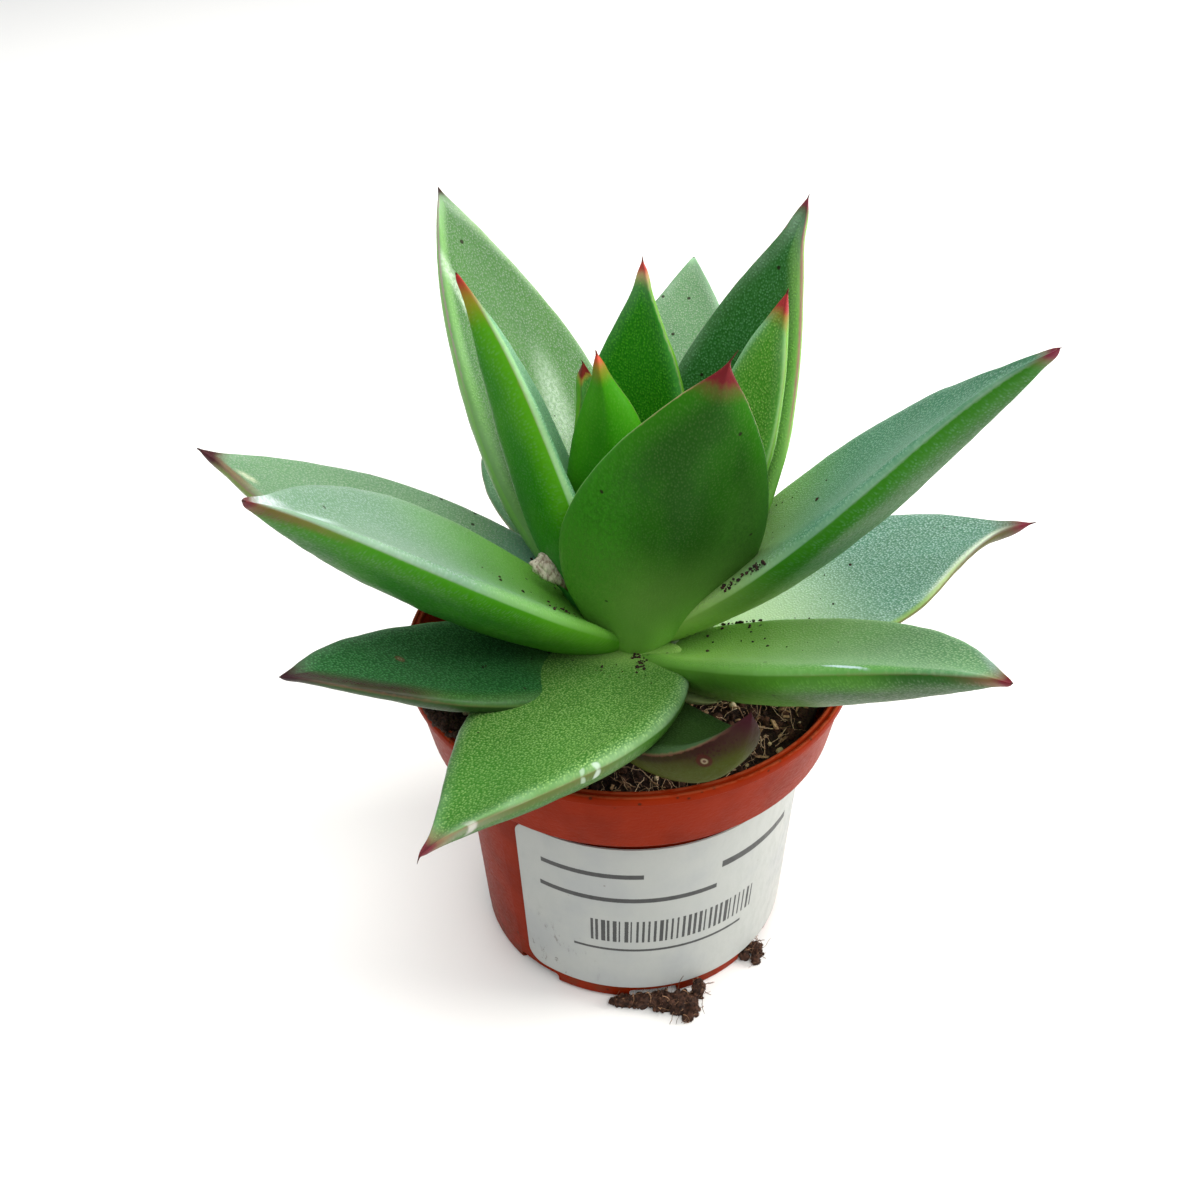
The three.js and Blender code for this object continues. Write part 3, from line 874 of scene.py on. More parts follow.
def install(piece: Object, material: Material, slot: str, *nodes: str, angle: float | None = None) -> None:
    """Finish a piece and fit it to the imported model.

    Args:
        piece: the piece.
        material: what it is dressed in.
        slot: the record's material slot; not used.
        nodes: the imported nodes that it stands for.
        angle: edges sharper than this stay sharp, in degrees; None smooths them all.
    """
    piece.data.materials.clear()
    piece.data.materials.append(material)
    take(piece)
    if angle is None:
        bpy.ops.object.shade_smooth()
    else:
        bpy.ops.object.shade_smooth_by_angle(angle=math.radians(angle))
    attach(piece, BODY)
    if nodes:
        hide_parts(*nodes)
    log.info("%s: %d faces, stands for %s", piece.name, len(piece.data.polygons), nodes or "nothing")


# Leaves


def quarter_sine(share: float) -> float:
    """Rise from 0 to 1 along a quarter of a sine wave, held at both ends."""
    return math.sin(math.pi / 2 * min(1.0, max(0.0, share)))


def quarter_cosine(share: float) -> float:
    """Fall from 1 to 0 along a quarter of a cosine wave, held at both ends."""
    return max(0.0, math.cos(math.pi / 2 * min(1.0, max(0.0, share))))


@dataclass(frozen=True)
class Station:
    """One round of a leaf: its place on the midline, its heading in radians and its size in metres."""

    run: float
    centre: Vector
    climb: float
    swing: float
    half: float
    depth: float

    def axes(self) -> Matrix:
        """Columns along the leaf, across it, and up out of its upper face."""
        return Matrix.Rotation(self.swing, 3, "Z") @ Matrix.Rotation(-self.climb, 3, "Y")


@dataclass(frozen=True)
class Leaf:
    """One leaf, in millimetres and degrees.

    size: length, width and thickness.
    seat: azimuth of the leaf on the stem, height, reach and sideways offset of its root.
    bend: rise at the root; climb along the whole length and extra climb near the tip; swing
        sideways along the whole length and extra swing near the tip; roll about its own length.
    plan: share of the length at which it is widest, width at the root as a share, how drawn out
        the body is, and how hollow the upper face is.
    point: length of the fleshy point on the body.
    thread: how far the dry thread on the point reaches along the leaf, across it and upwards.
    """

    name: str
    size: tuple[float, float, float]
    seat: tuple[float, float, float, float]
    bend: tuple[float, float, float, float, float, float]
    plan: tuple[float, float, float, float]
    point: float
    flesh: Flesh
    thread: tuple[float, float, float] = (0.3, 0.0, 0.0)
    marks: tuple[Mark, ...] = ()
    slot: str = "leaf"

    AROUND = 24
    STATIONS = 20
    SPACING = 1.35
    STEPS = 120
    LATE = 0.6
    THICKEST = 0.35
    ROOT_THICKNESS = 0.62
    SHOULDER = 0.22
    DROP = 0.18
    KEEL = 0.84
    EDGE = 0.2
    KEEL_POWER = 1.35
    SLOPE = 0.4
    END = 0.35
    MARGIN = 0.999
    THREAD_TAPER = (0.62, 0.7)
    CLOUDS = (7.0, 0.3)

    def _heading(self, share: float) -> tuple[float, float]:
        """How far the midline has climbed and swung at a share of the length, in radians.

        Args:
            share: from 0 at the root to 1 at the tip.

        Returns:
            The climb and the swing.
        """
        _, curl, flick, swing, hook, _ = self.bend
        late = max(0.0, (share - self.LATE) / (1 - self.LATE)) ** 1.5
        return math.radians(curl * share + flick * late), math.radians(swing * share + hook * late)

    def station(self, share: float) -> Station:
        """Measure the leaf at a share of its length.

        Args:
            share: from 0 at the root to 1 at the tip.

        Returns:
            The station there, before the leaf is set on the stem.
        """
        length, width, thickness = self.size
        centre = Vector()
        steps = max(1, round(self.STEPS * share))
        for i in range(steps if share > 0 else 0):
            climb, swing = self._heading(share * (i + 0.5) / steps)
            level = math.cos(climb)
            heading = Vector((level * math.cos(swing), level * math.sin(swing), math.sin(climb)))
            centre += heading * (share * length * MM / steps)
        climb, swing = self._heading(share)
        along = min(1.0, share / (1 - self.point / length))
        cone = self.SLOPE * min(self.point, (1 - share) * length)
        half = math.cbrt((0.5 * width * self._outline(along)) ** 3 + cone**3)
        depth = math.cbrt((thickness * self._body(along)) ** 3 + (2 * cone) ** 3)
        return Station(share * length, centre, climb, swing, max(half, 0.1) * MM, max(depth, 0.2) * MM)

    def _outline(self, along: float) -> float:
        """Measure the width of the body.

        Args:
            along: a share of the body's length.

        Returns:
            Its share of the full width there.
        """
        belly, heel, taper, _ = self.plan
        if along < belly:
            return heel + (1 - heel) * quarter_sine(along / belly)
        return quarter_cosine((along - belly) / (1 - belly)) ** taper

    def _body(self, along: float) -> float:
        """Measure the thickness of the body.

        Args:
            along: a share of the body's length.

        Returns:
            Its share of the full thickness there.
        """
        if along < self.THICKEST:
            return self.ROOT_THICKNESS + (1 - self.ROOT_THICKNESS) * quarter_sine(along / self.THICKEST)
        return quarter_cosine((along - self.THICKEST) / (1 - self.THICKEST)) ** 0.75

    def lift(self, side: float, upper: bool = True) -> float:
        """Height of the section above the margins, as a share of the thickness.

        Args:
            side: from -1 at one margin to 1 at the other.
            upper: on the upper face, or on the keel.

        Returns:
            The height.
        """
        into = min(1.0, max(0.0, (abs(side) - 1 + self.SHOULDER) / self.SHOULDER))
        shoulder = math.sqrt(1 - into * into)
        if upper:
            return self.DROP * shoulder - self.plan[3] * (1 - side * side)
        return -(self.KEEL - self.EDGE) * (1 - abs(side) ** self.KEEL_POWER) - self.EDGE * shoulder

    def seating(self) -> Matrix:
        """Say where the leaf sits on the stem.

        Returns:
            Its place.
        """
        azimuth, height, reach, offset = self.seat
        place = Matrix.Translation(Vector((reach, offset, height)) * MM)
        rise = Matrix.Rotation(math.radians(-self.bend[0]), 4, "Y")
        roll = Matrix.Rotation(math.radians(self.bend[5]), 4, "X")
        return Matrix.Rotation(math.radians(azimuth), 4, "Z") @ place @ rise @ roll

    def surface(self, run: float, side: float) -> Matrix:
        """Find a point on the upper face.

        Args:
            run: how far it is from the root, in millimetres.
            side: from -1 at one margin to 1 at the other.

        Returns:
            Its place, with its Z axis out of the face.
        """
        at = self.station(run / self.size[0])
        point = at.centre + at.axes() @ Vector((0, at.half * side, at.depth * self.lift(side)))
        return self.seating() @ Matrix.Translation(point) @ at.axes().to_4x4()

    def model(self) -> Object:
        """Draw the leaf out of a ring, station by station, and set it on the stem.

        Returns:
            The leaf.
        """
        shares = [1 - (1 - k / self.STATIONS) ** self.SPACING for k in range(self.STATIONS)]
        stations = [self.station(share) for share in [*shares, 1 - self.END / self.size[0]]]
        piece = disc(self.name.removeprefix("leaf_") + "_leaf", self.AROUND, 1.0)
        with shaping(piece) as mesh:
            turn("X", math.pi / 2)
            turn("Z", math.pi / 2)
            ring = self._shape_ring(mesh, stations[0])
            bpy.ops.mesh.select_all(action="SELECT")
            for old, new in zip(stations, stations[1:]):
                self._grow(old, new)
            self._spin_thread(stations[-1])
        self._survey(piece, stations, ring)
        face_out(piece)
        piece.matrix_world = self.seating()
        settle(piece)
        refine(piece, 2)
        roughen(piece, *self.CLOUDS)
        return piece

    def _shape_ring(self, mesh: bmesh.types.BMesh, root: Station) -> list[tuple[float, bool]]:
        """Shape the circle that the leaf starts from into the leaf's section.

        Args:
            mesh: the mesh being edited, a circle about the X axis.
            root: the first station.

        Returns:
            For each vertex, its share across the leaf and whether it is on the upper face.
        """
        ring = []
        for vertex in list(mesh.verts):
            side, upper = vertex.co.y / MM, vertex.co.z > -1e-4 * MM
            place = Vector((0, side * root.half, self.lift(side, upper) * root.depth))
            pick(mesh, lambda at, here=vertex.co.copy(): (at - here).length < 0.01 * MM)
            move(place - vertex.co)
            ring.append((side, upper))
        return ring

    @staticmethod
    def _grow(old: Station, new: Station) -> None:
        """Extrude the open end of the leaf from one station to the next.

        Args:
            old: where the end is.
            new: where it goes.
        """
        bpy.ops.mesh.extrude_region_move(TRANSFORM_OT_translate={"value": new.centre - old.centre})
        bpy.ops.transform.resize(
            value=(1, new.half / old.half, new.depth / old.depth), center_override=new.centre,
            orient_type="GLOBAL", orient_matrix=old.axes(), orient_matrix_type="GLOBAL",
        )
        turn("Z", -old.swing, new.centre)
        turn("Y", old.climb - new.climb, new.centre)
        turn("Z", new.swing, new.centre)

    def _spin_thread(self, tip: Station) -> None:
        """Draw the last ring out into the thread on the tip, and close it in a point.

        Args:
            tip: the last station.
        """
        step = tip.axes() @ (Vector(self.thread) * MM) / 3
        at = tip.centre
        for narrow in self.THREAD_TAPER:
            at = at + step
            extrude(step, (narrow, narrow, narrow), at)
        bpy.ops.mesh.extrude_region_move(TRANSFORM_OT_translate={"value": step})
        bpy.ops.mesh.merge(type="CENTER")

    def _survey(self, piece: Object, stations: list[Station], ring: list[tuple[float, bool]]) -> None:
        """Write on each point where it lies on the leaf.

        "flesh" holds the distances from the root, the middle and the margin in millimetres, the last
        one below 0 on the underside. "side" runs from -1 at one margin to 1 at the other.

        Args:
            piece: the leaf, before it is set on the stem.
            stations: its stations.
            ring: what each vertex of a ring is.
        """
        values: list[float] = []
        for at in stations:
            section = [Vector((at.half * side, at.depth * self.lift(side, upper))) for side, upper in ring]
            edges = [(after - point).length for point, after in zip(section, section[1:] + section[:1])]
            *gone, whole = accumulate(edges, initial=0.0)
            margins = [far for far, (side, _) in zip(gone, ring) if abs(side) >= self.MARGIN]
            for far, (side, upper) in zip(gone, ring):
                way = min(min(abs(far - margin), whole - abs(far - margin)) for margin in margins)
                values += [at.run, at.half * side / MM, (way if upper else -way) / MM]
        spare = len(piece.data.vertices) - len(values) // 3
        for index in range(spare):
            values += [self.size[0] + self.thread[0] * (index / spare), 0.0, 0.0]
        sides = [side for side, _ in ring] * len(stations) + [0.0] * spare
        piece.data.attributes.new("flesh", "FLOAT_VECTOR", "POINT").data.foreach_set("vector", values)
        piece.data.attributes.new("side", "FLOAT", "POINT").data.foreach_set("value", sides)


PALE = Flesh(face=0x7AA67A, bloom=0xC6DEC0, under=0x4C8A30, backlit_band=0x8AB85A, root=0x82AE58)
FRESH = Flesh(face=0x5C9448, bloom=0xB0D08A, under=0x3E7A1E, backlit_band=0x82B640, root=0x98C068)
DEEP = Flesh(face=0x2C5C34, bloom=0x6A9C6E, under=0x2C5418, backlit_band=0x5A7A34, root=0x4A7A34, haze=0.15)
YOUNG = Flesh(
    face=0x2E7A16, bloom=0x7AB44A, under=0x3A7E22, backlit_band=0x6AAA2C, root=0x448A2A, tip=0xA8302C, glow=0xA87C34,
    tip_reach=1.6, tip_fade=1.3, rim_strength=0.2, grain=0.55, haze=0.12, dirt=0.15,
)

LEAVES = (
    Leaf(
        "leaf_stub_front", (15, 9, 4.5), (306, 49.5, 4, 0), (8, 0, 0, 0, 0, 0), (0.4, 0.8, 0.5, 0.05), 0.0,
        replace(
            FRESH, face=0x86AA58, bloom=0xB8CC8E, tip=0x9CB070, glow=0x9CB070, rim_strength=0.0, dirt=0.7,
            root_reach=5.0,
        ),
        slot="old_leaf",
    ),
    Leaf(
        "leaf_small_front", (39, 14.5, 7.5), (293, 51.5, 2.5, -7.5), (-3, 43, 48, 9, -10, -15),
        (0.6, 0.5, 0.85, 0.05), 0.5,
        replace(
            DEEP, face=0x1F4217, bloom=0x405E31, under=0x393F07, backlit_band=0x333208, root=0x5A7A34, tip=0x300E16,
            glow=0x34201A, tip_reach=1.8, rim_strength=0.3, dirt=0.5, haze=0.05, shine=0.75,
            hems=(
                Hem(0x220A0C, 1.2, -1, 0.8, 0.5, under=True), Hem(0x2A080E, 3.4, -1, 0.9, 0.8, under=True),
                # painted shade: the next hem darkens the underside along one margin towards the tip, where
                # the plant shades it
                Hem(0x221A0A, 4.0, 1, 0.8, 0.55, 1.1, True),
            ),
        ),
        slot="old_leaf", marks=(Mark(32.1, -3.3, 1.7, 1.7, 0, 0x3A1008, 0.85, ring=True, face=-1),),
    ),
    Leaf(
        "leaf_low_left", (52.5, 16.5, 6.5), (223, 50.5, 4, 0.5), (22, 13, -8, -6, 12, -10),
        (0.4, 0.5, 0.75, 0.15), 1.5,
        replace(
            DEEP, face=0x1A4E24, bloom=0x488851, under=0x1C3A12, backlit_band=0x2A461C, tip=0x2A1018, glow=0x3A2A2C,
            tip_reach=1.6, rim_strength=0.2,
            hems=(
                Hem(0x34121A, 2.6, 1, 0.92, 0.66), Hem(0x6A7A3C, 0.35, 1, 0.5, 0.3, 0.6),
                Hem(0x3E5C1E, 2.4, 1, 0.5, 0.3, 0.7),
            ),
        ),
        marks=(Mark(35.1, -1.1, 1.3, 1.0, 20, 0x5A3E2A, 0.8, ring=True, face=1),),
    ),
    Leaf(
        "leaf_low_front", (52.5, 24, 9), (252, 52.5, 4, 2), (19, -7, -10, -19, 0, 7),
        (0.4, 0.5, 1.15, 0.15), 1.0,
        replace(
            FRESH, face=0x3D7428, bloom=0x85AD61, root=0xA0CC6C, under=0x28521A, backlit_band=0x3A6420,
            root_reach=12.0, tip=0x5E1C2A, glow=0x7A5E46, tip_reach=1.9, tip_fade=1.3, grain=0.95, haze=0.3,
            rim_strength=0.15,
            hems=(
                Hem(0xA4C890, 1.1, 1, 0.3, 0.45, 0.95), Hem(0x6A3A3A, 0.35, 1, 0.8, 0.84, 0.97),
                Hem(0x8A8A7A, 1.1, 1, 0.7, 0.84, 0.97, True), Hem(0x5E5A34, 1.2, 1, 0.7, 0.6, 0.86, True),
            ),
        ),
        thread=(1.0, 0.3, -0.4),
        marks=(
            # painted glints: the first two marks are small white highlights on the margin
            Mark(33.6, 8.9, 1.1, 0.5, 40, 0xC4D4C8, 0.6), Mark(35.2, 8.2, 0.9, 0.4, 10, 0xB4C8B8, 0.5),
            Mark(46.6, 2.4, 2.6, 0.9, 70, 0xC2BEBA, 0.7),
            Mark(42.0, -1.0, 26.0, 20.0, 0, 0x346E28, 0.45, soft=True, face=1),
        ),
    ),
    Leaf(
        "leaf_flat_right", (51, 29, 6.5), (7, 52, 4, -1), (4, 21, -12, 6, -33, -7), (0.45, 0.5, 0.95, 0.15),
        3.0,
        replace(
            PALE, face=0x4E806A, bloom=0x9BB8AF, root=0xCDE8BB, root_reach=30.0, grain=0.8, haze=0.2,
            tip=0x6A1E2E, glow=0x5A4A3A, tip_reach=1.8, rim=0x5A3A2A, rim_width=0.1, rim_strength=0.35,
            under=0x3E4420, backlit_band=0x5A6028,
            hems=(
                Hem(0xD4DCC6, 1.3, -1, 0.7, 0.66, 0.98), Hem(0x46441E, 2.4, -1, 0.9, 0.78, 1.1, True),
                Hem(0x7E9A3A, 0.7, -1, 0.8, 0.35, 0.8), Hem(0x3A2418, 0.35, -1, 0.8, 0.74, 1.1),
            ),
        ),
        thread=(1.0, -0.1, 0.2),
    ),
    Leaf(
        "leaf_far_left", (55, 23, 10), (170, 53.5, 4, 0), (22, 7, 6, 12, 3, 7), (0.45, 0.5, 0.75, 0.15),
        2.0,
        replace(
            PALE, face=0x688D6C, bloom=0xA4B4A0, root=0x74B09C, tip=0x401A22, glow=0x5A4636, tip_reach=2.0,
            tip_fade=1.0, rim=0x8A6A66, rim_strength=0.4, grain=0.5,
            hems=(Hem(0x74402C, 1.3, 1, 0.9, 0.86), Hem(0x5E5A30, 2.2, 1, 0.85, 0.8, 1.1, True)),
        ),
        # painted highlight: the mark is a pale gloss on the upper face near the tip
        thread=(0.7, 0.1, 0.1), marks=(Mark(48.6, 1.7, 3.4, 1.5, 20, 0xCED6B4, 0.8, soft=True, face=1),),
    ),
    Leaf(
        "leaf_front_right", (60, 17.5, 9), (318, 51, 4, -2), (30, -3, -4, -8, -21, -10),
        (0.45, 0.45, 1.0, 0.2), 1.2,
        replace(
            FRESH, face=0x5F9461, bloom=0xA0C094, under=0x134303, backlit_band=0x1B5208, root=0x86BA50,
            tip=0x6E1428, glow=0x7A5A36, tip_reach=1.7, tip_fade=1.6, grain=0.7, rim_strength=0.15,
            root_reach=48.0, haze=0.1,
            hems=(
                Hem(0x7E4440, 1.6, -1, 0.85, 0.92, 1.1, True), Hem(0xA8B4B8, 1.1, 1, 0.6, 0.86),
                Hem(0x5C9C34, 1.6, -1, 0.6, 0.0, 0.8), Hem(0x4E8C24, 3.4, -1, 0.7, 0.0, 0.75, True),
            ),
        ),
        # painted reflection: the mark is a pale blue streak of highlight on the upper face
        thread=(0.5, 0.0, 0.2), marks=(Mark(40.6, -6.1, 7.0, 0.5, -9, 0xC0D8DC, 0.85, face=1),),
    ),
    Leaf(
        "leaf_low_back", (49.5, 18.5, 6), (112, 53.5, 4, 0), (7, -16, -10, 1, 1, 13),
        (0.45, 0.5, 0.9, 0.15), 2.0,
        replace(DEEP, face=0x4A7A50, bloom=0x8AB48C),
    ),
    Leaf(
        "leaf_low_back_right", (50, 20, 6.5), (64, 52.5, 4, 0), (8, -3, -3, 0, 0, 0),
        (0.45, 0.5, 0.9, 0.15), 2.0,
        replace(DEEP, face=0x4A7A50, bloom=0x8AB48C),
    ),
    Leaf(
        "leaf_back", (56, 22.5, 7), (77, 53, 4, -0.5), (29, 3, -3, 1, 0, -3), (0.45, 0.5, 0.95, 0.15), 0.0,
        replace(
            PALE, face=0x5C7F5F, bloom=0x8A9F86, tip=0x9CBEA0, glow=0x88B088, tip_reach=0.4, tip_fade=0.8,
            rim_strength=0.0,
        ),
    ),
    Leaf(
        "leaf_front_left", (71.5, 21.5, 9.5), (213, 53, 3, 1.5), (48, -7, 4, 23, 11, 0),
        (0.4, 0.35, 1.2, 0.25), 1.5,
        replace(
            PALE, face=0x688B71, bloom=0x98A9A3, under=0x1A5C03, backlit_band=0x357906, root=0x67AD2A,
            root_reach=46.0, tip=0x5A1E26, glow=0x6A4A34, tip_reach=1.4, tip_fade=1.2, rim=0x9A8A80,
            rim_strength=0.1, grain=0.6, haze=0.08,
            hems=(
                # painted highlight: the first hem below is a pale gloss along the shoulder near the tip
                Hem(0xB8D2BC, 1.6, 1, 0.2, 0.66, 0.98), Hem(0x6CA040, 2.4, 1, 0.5, 0.0, 0.55),
                Hem(0x5A2420, 1.8, 1, 0.85, 0.9, 1.1, True), Hem(0x6A4A30, 1.0, 1, 0.75, 0.82, 0.95, True),
            ),
        ),
        thread=(0.5, 0.1, 0.0),
        marks=(
            # painted highlights: both marks are glossy reflections on the upper face near the tip
            Mark(67.3, -0.3, 9.0, 2.4, 0, 0xD2DAE0, 0.75, soft=True, face=1),
            Mark(60.0, 0.9, 10.0, 1.8, 0, 0xC4DAD4, 0.6, soft=True, face=1),
        ),
    ),
    Leaf(
        "leaf_long_right", (69, 20.5, 8.5), (338, 54, 3.5, -0.5), (49, 4, -3, -12, -20, 1),
        (0.4, 0.5, 1.5, 0.2), 1.5,
        replace(
            PALE, face=0x4B8368, bloom=0x81AD95, under=0x175303, backlit_band=0x2E710D, root=0xB4D874,
            root_reach=38.0, tip=0x74203A, glow=0x6A5A3C, tip_reach=1.8, tip_fade=1.2, rim=0x94A890,
            rim_strength=0.2, grain=0.75, haze=0.2,
            hems=(Hem(0x9CC49A, 0.8, -1, 0.22, 0.35, 0.9),),
        ),
        thread=(0.4, 0.0, 0.0), marks=(Mark(67.0, 0.5, 3.0, 1.0, 0, 0xB8A8B4, 0.7, soft=True, face=1),),
    ),
    Leaf(
        "leaf_tall_back_left", (59.5, 25.5, 11), (116, 54, 3.5, 0), (50, -8, 7, 12, -6, 23),
        (0.35, 0.55, 0.85, 0.3), 0.8,
        replace(
            PALE, face=0x40663D, bloom=0x748B71, under=0x5A9038, backlit_band=0x7CB45A, root=0x78A468, tip=0x30161A,
            glow=0x6A7A64, tip_reach=0.9, tip_fade=0.6, rim=0xA88A94, rim_width=0.16, rim_strength=0.65,
            grain=0.8, haze=0.35,
            hems=(Hem(0x78AC5C, 2.0, 1, 0.75, 0.1, 0.97), Hem(0xB4D0A0, 1.4, -1, 0.45, 0.3, 0.95)),
        ),
        marks=(
            # painted highlights: both marks are pale glossy streaks on the upper face
            Mark(44.0, 4.4, 26.0, 2.4, -8, 0xC8DCC4, 0.6, soft=True, face=1),
            Mark(27.0, -3.4, 17.0, 4.6, 6, 0xB8CCB8, 0.5, soft=True, face=1),
        ),
    ),
    Leaf(
        "leaf_tall_back_right", (55.5, 20.5, 7.5), (23, 55, 3, -1), (68, 7, -2, 0, -2, 23),
        (0.35, 0.5, 0.9, 0.3), 2.5,
        replace(
            DEEP, face=0x1B5626, bloom=0x558F5B, under=0x4A8A24, backlit_band=0x7CB84A, root=0x4A8A24, tip=0x7A2A40,
            glow=0x5A4A34, tip_reach=1.0, tip_fade=0.8, rim=0x8A5A60, rim_width=0.2, rim_strength=0.6,
            haze=0.3,
            hems=(Hem(0x8AC45C, 2.6, -1, 0.85, 0.2, 0.9), Hem(0x94545C, 0.45, -1, 0.8, 0.55, 1.1)),
        ),
        thread=(0.8, -0.05, 0.1),
    ),
    Leaf(
        "leaf_front_upright", (51.5, 24, 8), (285, 51.5, 3, -0.5), (69, 7, 3, 12, -4, -16),
        (0.45, 0.3, 0.8, 0.15), 1.2,
        replace(
            FRESH, face=0x5C9448, under=0x194906, backlit_band=0x276706, root=0x99D160, root_reach=38.0,
            tip=0x661420, glow=0x5A4424, tip_reach=2.6, tip_fade=1.1, rim=0xC08A78, rim_width=0.08,
            rim_start=0.7, rim_strength=0.5, grain=0.25, haze=0.1, dirt=0.2, shine=0.46,
        ),
        thread=(1.9, 0.5, 0.0),
        marks=(
            Mark(35.4, -5.2, 4.6, 0.7, 67, 0x1C4A10, 0.75, soft=True, face=-1),
            Mark(24.0, -9.5, 36.0, 13.0, 0, 0x3C8C1C, 0.5, soft=True, face=-1),
            Mark(28.0, 8.5, 26.0, 10.0, 0, 0x4C7E30, 0.4, soft=True, face=-1),
        ),
    ),
    Leaf(
        "leaf_inner_left", (49.5, 16, 8), (199, 55.5, 3, 1), (79, -13, -10, -15, -13, -12),
        (0.35, 0.5, 1.35, 0.15), 1.2,
        replace(
            YOUNG, face=0x6AA47A, bloom=0x9CC8A0, under=0x29780A, backlit_band=0x4C930F, root=0x469A50,
            tip=0x982228, glow=0x9C6A28, tip_reach=1.7, tip_fade=2.4, root_reach=26.0,
            hems=(Hem(0xA8CC8A, 0.8, 1, 0.6, 0.2, 0.9),),
        ),
        slot="heart_leaf",
    ),
    Leaf(
        "leaf_inner_right", (44.5, 10, 6), (350, 58.5, 2, -2), (53, 19, -16, 34, -11, 47),
        (0.55, 0.5, 0.55, 0.15), 3.0,
        replace(
            YOUNG, face=0x498B28, bloom=0x91C35E, backlit_band=0x6EAA3A, tip=0x9C2A34, glow=0x94682C, tip_reach=1.9,
            tip_fade=1.1,
            hems=(Hem(0x98C4A4, 1.0, 1, 0.7, 0.4, 0.93), Hem(0xA4CC8C, 0.45, -1, 0.6, 0.2, 0.9)),
        ),
        thread=(0.8, 0.1, 0.0), slot="heart_leaf",
    ),
    Leaf(
        "leaf_inner_back", (44.5, 16, 6.5), (62, 57.5, 2, 0.5), (87, 3, -1, -4, 3, -7),
        (0.45, 0.5, 0.95, 0.15), 2.0,
        replace(
            YOUNG, face=0x187507, bloom=0x57B326, root=0x145C0A, tip=0xB03C3A, glow=0xC8A078, tip_reach=1.2,
            tip_fade=1.0, rim=0x9AA078, rim_strength=0.35,
        ),
        thread=(1.0, 0.0, 0.0), slot="heart_leaf",
    ),
    Leaf(
        "leaf_heart_left", (34, 11, 3.5), (150, 57.5, 0.5, 1), (81, 7, 1, 4, 2, -15),
        (0.45, 0.5, 0.9, 0.15), 3.0,
        replace(YOUNG, tip=0x701420, tip_reach=1.7, tip_fade=0.5),
        thread=(0.8, 0.3, 0.0), slot="heart_leaf",
    ),
    Leaf(
        "leaf_heart_front", (38, 11.5, 6), (252, 58, 2, -0.5), (82, 1, -3, 0, -7, 17),
        (0.45, 0.5, 0.8, 0.15), 2.0,
        replace(
            YOUNG, under=0x277108, backlit_band=0x3C8A0F, glow=0x946C28, tip=0xC03C34, tip_reach=0.9, tip_fade=1.4,
        ),
        thread=(0.8, 0.0, 0.0), slot="heart_leaf",
    ),
    Leaf(
        "leaf_heart_right", (27, 8, 3.5), (300, 58.5, 0, 0), (88, 4, 0, 0, 0, 0), (0.45, 0.5, 0.9, 0.15),
        2.5,
        YOUNG,
        slot="heart_leaf",
    ),
    Leaf(
        "leaf_bud", (20, 5.5, 2.6), (320, 58.5, 4, -1), (80, 3, 0, 0, 0, 0), (0.4, 0.5, 0.9, 0.15), 2.0,
        YOUNG,
        slot="heart_leaf",
    ),
)


@dataclass
class Rosette:
    """All the leaves round the stem."""

    leaves: tuple[Leaf, ...] = LEAVES
    seed_step: float = 3.7

    def build(self) -> None:
        """Model and dress each leaf."""
        for number, leaf in enumerate(self.leaves):
            piece = leaf.model()
            seed = self.seed_step * number
            skin = leaf.flesh.dress(piece.name + "_flesh", leaf.size[0], seed, leaf.marks)
            install(piece, skin, leaf.slot, leaf.name)


# Pot and label


